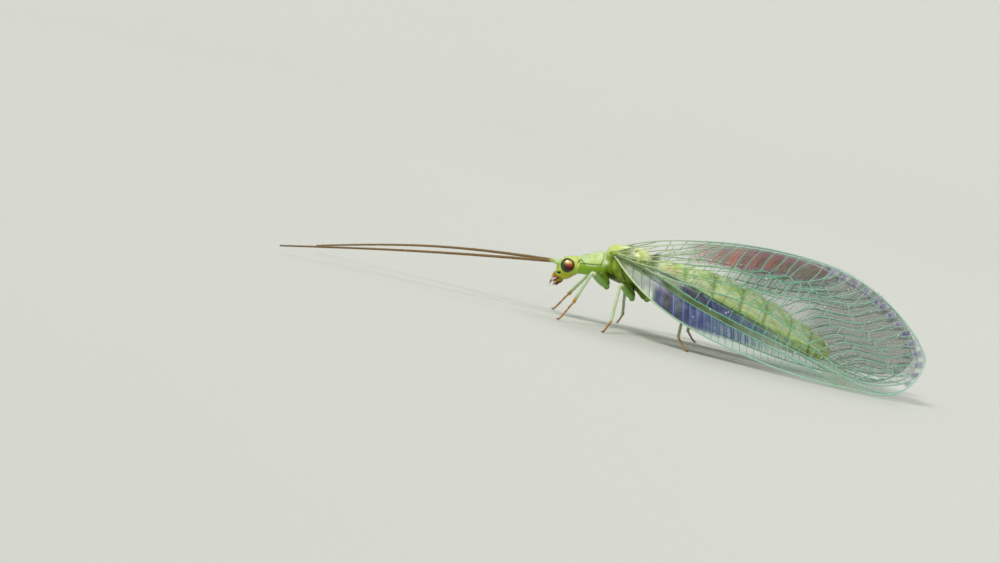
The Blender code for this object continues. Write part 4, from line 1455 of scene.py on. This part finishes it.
def makeVeinFinish():
    # stored colour with faint lengthwise change; slightly glossy, lightly pebbled
    finish = Finish("veinGreen", {"IOR": 1.5, "Coat Weight": 0.15, "Coat Roughness": 0.2})
    base = finish.stored("tint")
    shade = finish.noise(5, 2)
    darker, lighter = finish.times(base, (0.80, 0.88, 0.84)), finish.mix(0.12, base, (0.9, 1.0, 0.95))
    colour, bumps = finish.mix(shade * 0.9 + 0.05, darker, lighter), finish.bump(finish.noise(45, 2), 0.004)
    return finish.feed(colour=colour, roughness=shade * 0.2 + 0.28, normal=bumps)


filmColours = {
    "clear": paint(176, 196, 180),
    "smoke": paint(30, 66, 42),
    "umber": paint(74, 56, 46),
    "rust": paint(112, 36, 18),
    "ember": paint(206, 78, 24),
    "moss": paint(104, 104, 58),
    "rose": paint(150, 84, 112),
    "violet": paint(70, 40, 120),
    "maroon": paint(24, 4, 14),
    "blue": paint(6, 30, 128),
    "teal": paint(84, 142, 118),
    "olive": paint(66, 92, 14),
    "stigma": paint(128, 164, 96),
    "lilac": paint(206, 204, 222),
    "milk": paint(206, 222, 202),
    "rootGreen": paint(112, 134, 40),
}
film = {"rows": 310, "across": 104, "thick": 0.010, "swell": 0.016}
filmCover = {  # how much each field hides of what is behind it; where fields overlap these add up
    "clear": 0.008,
    "smoke": 0.115,
    "rust": 0.16,
    "front": 0.15,
    "start": 0.26,
    "deep": 0.74,
    "strip": 0.80,
    "stigma": 0.22,
    "fleck": 0.05,
    "rim": 0.06,
    "tipCell": 0.30,
    "root": 0.75,
    "most": 0.94,
}


def filmLook(uv, away, inPlane, cells):
    # colour and cover of the film on the forewing's plan; away is the distance to the nearest vein
    # and inPlane that to the nearest margin; each field is a product of eases over u, v and these
    u, v = np.moveaxis(uv, -1, 0)
    names = ("radius", "subcosta", "sector", "innerLine", "outerLine")
    radius, subcosta, sector, innerLine, outerLine = (
        np.interp(u, *curveThrough(mainVeins[name], 60).T) for name in names
    )
    outerLine = np.where(u < 5.5, outerLine, np.interp(u, *np.array(chains["high"]).T))
    shimmer = 0.5 + 0.5 * np.sin(3.1 * u + 2.3 * np.sin(1.7 * v + 0.6 * u)) * np.cos(2.6 * v - 0.8 * u)
    nearVein = hump((away - 0.03) / 0.035)
    # dark smoky fields between the inner and outer lines and over the tip
    smoke = ease((u - 4.2) / 1.5) * ease((innerLine + 0.12 - v) / 0.15)
    behind = ease((sector + 0.1 - v) / 0.15)
    smoke = np.maximum(smoke, behind * (0.55 * ease((u - 5.4) / 1.5) + 0.45 * ease((u - 8.0) / 1.4)))
    # rusty cells between the outer line and the hind margin
    rust = ease((outerLine - 0.02 - v) / 0.12) * ease((u - 2.6) / 1.2) * ease((11.0 - u) / 2.5)
    warm = ease(0.45 + 0.9 * np.sin(6.6 * u + 1.9 * v) * np.cos(2.1 * u + 0.7 * v)) * ease((7.4 - u) / 2)
    purple = np.maximum(0.6 * nearVein, 0.8 * ease((0.20 - (outerLine - v)) / 0.10))
    # the field behind the front margin: pale, then blue with dark red middles, then green
    front = ease((v - subcosta + 0.02) / 0.06) * ease((10.6 - u) / 1.5)
    start = front * ease((2.4 - u) / 0.5)
    share = (v - subcosta) / np.maximum(foreFront(u / wings["fore"]["length"]) - subcosta, 0.05)
    deep = front * ease((u - 1.9) / 0.5) * ease((8.2 - u) / 2.4) * ease((1.9 - 0.2 * u - share) / 0.3)
    deep = deep * (1 - 0.55 * ease((u - 4.0) / 1.6) * ease((away - 0.04) / 0.06))
    wine = deep * ease((away - 0.06) / 0.07) * ease((5.2 - u) / 1.5) * (0.45 + 0.55 * shimmer)
    # film between the two thick veins, thickened spot near the tip, pearly flecks on the abdomen
    strip = ease((subcosta - v) / 0.02 + 0.5) * ease((v - radius) / 0.02 + 0.5)
    stigma = hump((u - 10.7) / 1.0) * ease((v - radius) / 0.08)
    fleck = hump((v - 0.45 - 0.03 * u) / 0.22) * ease((u - 1.5) / 0.6)
    fleck = fleck * ease((6.8 - u) / 1.5) * ease((shimmer - 0.45) / 0.3)
    # rosy rims, violet cells along the margin of the tip, green root
    rim = ease((0.40 - inPlane) / 0.08) * ease((u - 5.0) / 2.0) * ease((sector + 0.1 - v) / 0.2) * nearVein
    near = np.full(u.shape, 9.0)
    for (a, b), (da, db) in cells:
        lengthwise, sidewise = (u - a) * da + (v - b) * db, (v - b) * da - (u - a) * db
        near = np.minimum(near, np.maximum(np.abs(lengthwise) / 0.21, np.abs(sidewise) / 0.12))
    tipCell = ease((1.15 - near) / 0.2)
    root = ease((0.95 - u) / 0.5)
    tint = painted(plain(filmColours["clear"], u), filmColours, [
        ("smoke", smoke),
        ("umber", smoke * ease((u - 8.2) / 1.5) * (0.35 + 0.5 * shimmer)),
        ("rust", rust),
        ("ember", rust * (1 - nearVein) * warm),
        ("moss", rust * ease((u - 5.6) / 2.2) * (0.35 + 0.5 * shimmer)),
        ("violet", rust * purple),
        ("rose", rust * 0.6 * ease((0.30 - inPlane) / 0.05) * ease((away - 0.02) / 0.04)),
        ("teal", 0.8 * front),
        ("milk", start),
        ("blue", deep),
        ("maroon", wine),
        ("olive", strip * ease((8.5 - u) / 3)),
        ("stigma", stigma),
        ("lilac", fleck * 0.7),
        ("rose", rim * 0.6),
        ("lilac", tipCell),
        ("violet", ease((0.95 - near) / 0.25) * (0.6 + 0.4 * shimmer)),
        ("rootGreen", root),
    ])
    fields = {
        "clear": 1.0,
        "smoke": smoke * (0.70 + 0.30 * ease(away / 0.08)),
        "rust": rust * ease((away - 0.01) / 0.04),
        "front": front,
        "start": start,
        "deep": deep,
        "strip": strip * ease((9.5 - u) / 5),
        "stigma": stigma,
        "fleck": fleck,
        "rim": rim,
        "tipCell": tipCell,
        "root": root,
    }
    cover = sum(filmCover[name] * field for name, field in fields.items())
    return tint, np.clip(cover, 0, filmCover["most"])


def distanceToVeins(plan, veins):  # nearest vein point for each place of the plan, in blocks
    points = np.concatenate([atLength(line, np.linspace(0, 1, 26)) for line, size, dark in veins])
    blocks = [
        np.min(np.hypot(*(block[:, None] - points[None]).transpose(2, 0, 1)), 1)
        for block in np.array_split(plan.reshape(-1, 2), 60)
    ]
    return np.concatenate(blocks).reshape(plan.shape[:-1])


def planFilm(veins, cells):  # the forewing's plan as a grid between its margins, with its look
    t = 1 - (1 - np.linspace(0, 1, film["rows"])) ** 1.5
    share = np.linspace(0, 1, film["across"])[None]
    low, high, length = -foreBack(t)[:, None], foreFront(t)[:, None], wings["fore"]["length"]
    v = low * (1 - share) + high * share
    plan = np.stack([np.broadcast_to(t[:, None] * length, v.shape), v], -1)
    away = distanceToVeins(plan, veins)
    inPlane = np.minimum(np.minimum(high - v, v - low), length - plan[..., 0])
    looks = {"fore": filmLook(plan, away, inPlane, cells), "hind": filmLook(plan, away, inPlane, [])}
    return plan, away, looks


def makeWingFilm(wing, side, plan, away, looks):
    # a closed thin plate: the grid between the margins, one face out and one in, joined at the rim;
    # it swells a little away from its veins
    rows, across = plan.shape[:2]
    u, v = np.moveaxis(fitTo(wing, plan), -1, 0)
    normal = wingNormal(wing, side, u, v)
    middle = wingPlace(wing, side, u, v) + normal * (film["swell"] * ease(away / 0.12))[..., None]
    half = normal * film["thick"] / 2
    points = np.concatenate([(middle + half).reshape(-1, 3), (middle - half).reshape(-1, 3)])
    faces = gridFaces(rows, across, False)
    count = rows * across
    rim = np.concatenate([
        np.arange(across), np.arange(1, rows) * across + across - 1,
        count - 2 - np.arange(across - 1), np.arange(rows - 2, 0, -1) * across,
    ])
    follow = np.roll(rim, -1)
    walls = np.stack([rim, rim + count, follow + count, follow], -1)
    tint, cover = (np.concatenate([value.reshape(count, -1)] * 2).squeeze() for value in looks[wing])
    faces = np.concatenate([faces, faces[:, ::-1] + count, walls[:, ::-1]])
    heap = Heap()
    heap.add((points, [faces]), tint=tint, cover=cover)
    heap.piece(f"film{wing.capitalize()}{side.capitalize()}", filmFinish, "wing", [f"{wing}wing_{side}"])


def makeFilmFinish():
    # thin clear film: stored colour and cover, with small shimmering changes and white specks (dust,
    # whitened as painted glints); fairly smooth, with a soft ripple in the surface
    finish = Finish("wingFilm", {
        "IOR": 1.45,
        "Specular IOR Level": 0.3,
        "Metallic": 0.12,
        "Coat Weight": 0.04,
        "Coat Roughness": 0.30,
    })
    base = finish.stored("tint")
    shade, fine = finish.noise(2.4, 3), finish.noise(14, 2)
    violet, green = finish.times(base, (0.80, 0.74, 0.86)), finish.mix(0.18, base, (0.86, 0.98, 0.90))
    # white specks: dust on the film, made white and opaque as painted glints
    glintSpeck = finish.node("ShaderNodeMath", {"operation": "LESS_THAN"}, {0: finish.cells(1.1), 1: 0.030})
    colour = finish.mix(glintSpeck, finish.mix(shade * 1.4 - 0.25, violet, green), (0.95, 0.97, 0.97))
    cover = finish.stored("cover", 2) * (shade * 0.5 + 0.75) + glintSpeck * 0.8
    bumps = finish.bump(fine, 0.003)
    return finish.feed(colour=colour, alpha=cover, roughness=fine * 0.15 + 0.34, normal=bumps)


wingHair = {
    "perMillimetre": {"edge": 26, "face": 9},
    "faceLength": 0.07,
    "fringeLength": (0.075, 0.125),  # near the root and near the tip
    "radius": 0.0036,
}


def makeWingHair(wing, side, roots):
    # short hairs along every vein on both faces, and a fringe that stands out of the margins; none
    # that would reach through the floor
    length = wings[wing]["length"]
    spots, ways, sizes = [], [], []
    for line, size in roots:
        reach = np.linalg.norm(np.diff(line, axis=0), axis=1).sum()
        edge = size in ("costa", "edge")
        count = int(reach * wingHair["perMillimetre"]["edge" if edge else "face"])
        if count < 2:
            continue
        share = (np.arange(count) + chance.random(count) * 0.8) / count
        place = atLength(line, share)
        ahead = unit(atLength(line, np.clip(share + 0.02, 0, 1)) - place + [1e-6, 0])
        sign = np.where(chance.random(count) < 0.5, -1, 1)
        point = wingPlace(wing, side, *place.T)
        normal = wingNormal(wing, side, *place.T)
        onward = unit(wingPlace(wing, side, *(place + ahead * 0.02).T) - point)
        if edge:
            out = np.stack([-ahead[:, 1], ahead[:, 0]], -1) * (1 if size == "costa" else -1)
            outward = unit(wingPlace(wing, side, *(place + out * 0.02).T) - point)
            way = unit(outward + 0.45 * onward + 0.25 * sign[:, None] * normal)
            short, long = wingHair["fringeLength"]
            far = short + (long - short) * ease((place[:, 0] / length - 0.45) / 0.3)
        else:
            way = unit(0.9 * sign[:, None] * normal + 0.8 * onward)
            far = np.full(count, wingHair["faceLength"])
        spots.append(np.concatenate([point, place / [length, 6] + [0.02, 0.5]], 1))
        ways.append(way)
        sizes.append(far * (0.7 + 0.6 * chance.random(count)))
    spots, ways, sizes = (np.concatenate(parts) for parts in (spots, ways, sizes))
    keep = spots[:, 2] + ways[:, 2] * sizes > 0.01
    spots, ways, sizes = spots[keep], ways[keep], sizes[keep]
    bake = spots[:, 3:] * 0.94 + 0.02
    shape, bake = bristles(spots[:, :3], ways, 0 * ways, sizes, wingHair["radius"], bake)
    title = wing.capitalize() + side.capitalize()
    hairPiece("wingHair" + title, shape, veinColours["hair"], bake, "wing", [f"{wing}wing_{side}"])


wingBases = {  # plates half sunk in the thorax: place on the right side, radii, colour name
    "fore": [
        ((0.10, 0.72, 3.20), (0.27, 0.16, 0.12), "green"),
        ((0.52, 0.76, 3.20), (0.26, 0.15, 0.11), "pale"),
        ((0.84, 0.70, 3.18), (0.18, 0.15, 0.10), "green"),
    ],
    "hind": [
        ((1.26, 0.54, 3.14), (0.20, 0.14, 0.11), "green"),
        ((1.50, 0.46, 3.12), (0.20, 0.13, 0.10), "pale"),
    ],
}
baseColours = {"green": paint(140, 164, 60), "pale": paint(206, 216, 150)}
glintBeads = {"count": 30, "radius": 0.026, "above": 0.02}  # tiny white grains on the wings: droplets and dust, their white a painted glint


def makeWingBase(wing, side):  # each plate is a ball stretched to its radii
    heap = Heap()
    for place, radii, colour in wingBases[wing]:
        middle = np.array(place) * [1, sides[side], 1]
        heap.add(closedRings(ballRings(14, 18) * radii + middle), tint=baseColours[colour])
    heap.piece(f"{wing}WingBase{side.capitalize()}", baseFinish, "thorax", [f"{wing}wing_{side}"])


def makeGlintBeads(wing, side):  # small balls at random shares of the wing's length and width; their white is a painted glint
    heap = Heap()
    front, back = margins[wing]
    t = 0.22 + 0.70 * chance.random(glintBeads["count"])
    share = 0.12 + 0.76 * chance.random(glintBeads["count"])
    u, v = t * wings[wing]["length"], front(t) * share - back(t) * (1 - share)
    places = wingPlace(wing, side, u, v) + wingNormal(wing, side, u, v) * glintBeads["above"]
    for place, size in zip(places, 0.6 + 0.6 * chance.random(glintBeads["count"])):
        heap.add(closedRings(ballRings(4, 7) * glintBeads["radius"] * size + place))
    heap.piece(f"{wing}WingGlintBeads{side.capitalize()}", glintBeadFinish, "wing", [f"{wing}wing_{side}"])


def makeGlintBeadFinish():  # two whites in soft lumps, standing for glints
    finish = Finish("whiteGlintBead", {"Roughness": 0.2})
    return finish.feed(colour=finish.mix(finish.noise(3, 1), (0.86, 0.90, 0.90), (0.95, 0.96, 0.94)))


glintBeadFinish, baseFinish = makeGlintBeadFinish(), skinFinish("wingBaseGreen", 0.10)
veinFinish, filmFinish = makeVeinFinish(), makeFilmFinish()
foreVeins, violetCells = layVeins()
filmPlan = planFilm(foreVeins, violetCells)
for wingName in ("fore", "hind"):
    for sideName in sides:
        veinRoots = makeWingVeins(wingName, sideName, foreVeins)
        makeWingFilm(wingName, sideName, *filmPlan)
        makeWingHair(wingName, sideName, veinRoots)
        makeWingBase(wingName, sideName)
    makeGlintBeads(wingName, "left")
    makeGlintBeads(wingName, "right")
print("wings")


# Body hair: short pale hairs on the whole skin, longer bristles on the collar and the back

coat = {
    "hairs": {"count": 7000, "slant": 0.55, "length": 0.042, "radius": 0.0030},
    "bristles": {"count": 260, "slant": 0.25, "length": 0.14, "radius": 0.0042},
}
coatColour = paint(232, 236, 216)


def makeBodyHair(rings, normal, tint, rise):
    # each hair stands on a point of the skin's grid and leans to the tail; none on the eyes
    rows, across = rings.shape[:2]
    rearward = unit(np.gradient(rings, axis=0))
    heap = Heap()
    for kind, own in coat.items():
        i = chance.integers(14, rows - 6, own["count"] * 3)
        j = chance.integers(0, across, own["count"] * 3)
        x, y, z = np.moveaxis(rings[i, j], -1, 0)
        nearEye = np.hypot((x - eyePlace["x"]) / 0.36, (z - eyePlace["z"]) / 0.37) < 1
        keep = ~(nearEye & (np.abs(y) > 0.2))
        if kind == "bristles":
            keep &= (rise[i, j] > 0.45) & (x > -1.25) & (x < 1.5)
        i, j = i[keep][: own["count"]], j[keep][: own["count"]]
        out, back = normal[i, j], rearward[i, j]
        ways = unit(out + own["slant"] * back + 0.12 * chance.normal(size=(len(i), 3)))
        lengths = own["length"] * (0.6 + 0.8 * chance.random(len(i)))
        unwrap = np.stack([0.03 + 0.94 * i / rows, 0.03 + 0.94 * j / across], -1)
        roots, bends = rings[i, j] - out * 0.004, 0.35 * back - 0.15 * out
        shape, spots = bristles(roots, ways, bends, lengths, own["radius"], unwrap)
        colour = blendTo(tint[i, j], coatColour, np.full(len(i), 0.6))
        heap.add(shape, tint=np.repeat(colour, hairPoints, 0), bake=spots)
    heap.piece("bodyHair", hairFinish, "thorax", furred)


makeBodyHair(*bodyGrid)
print("body hair")
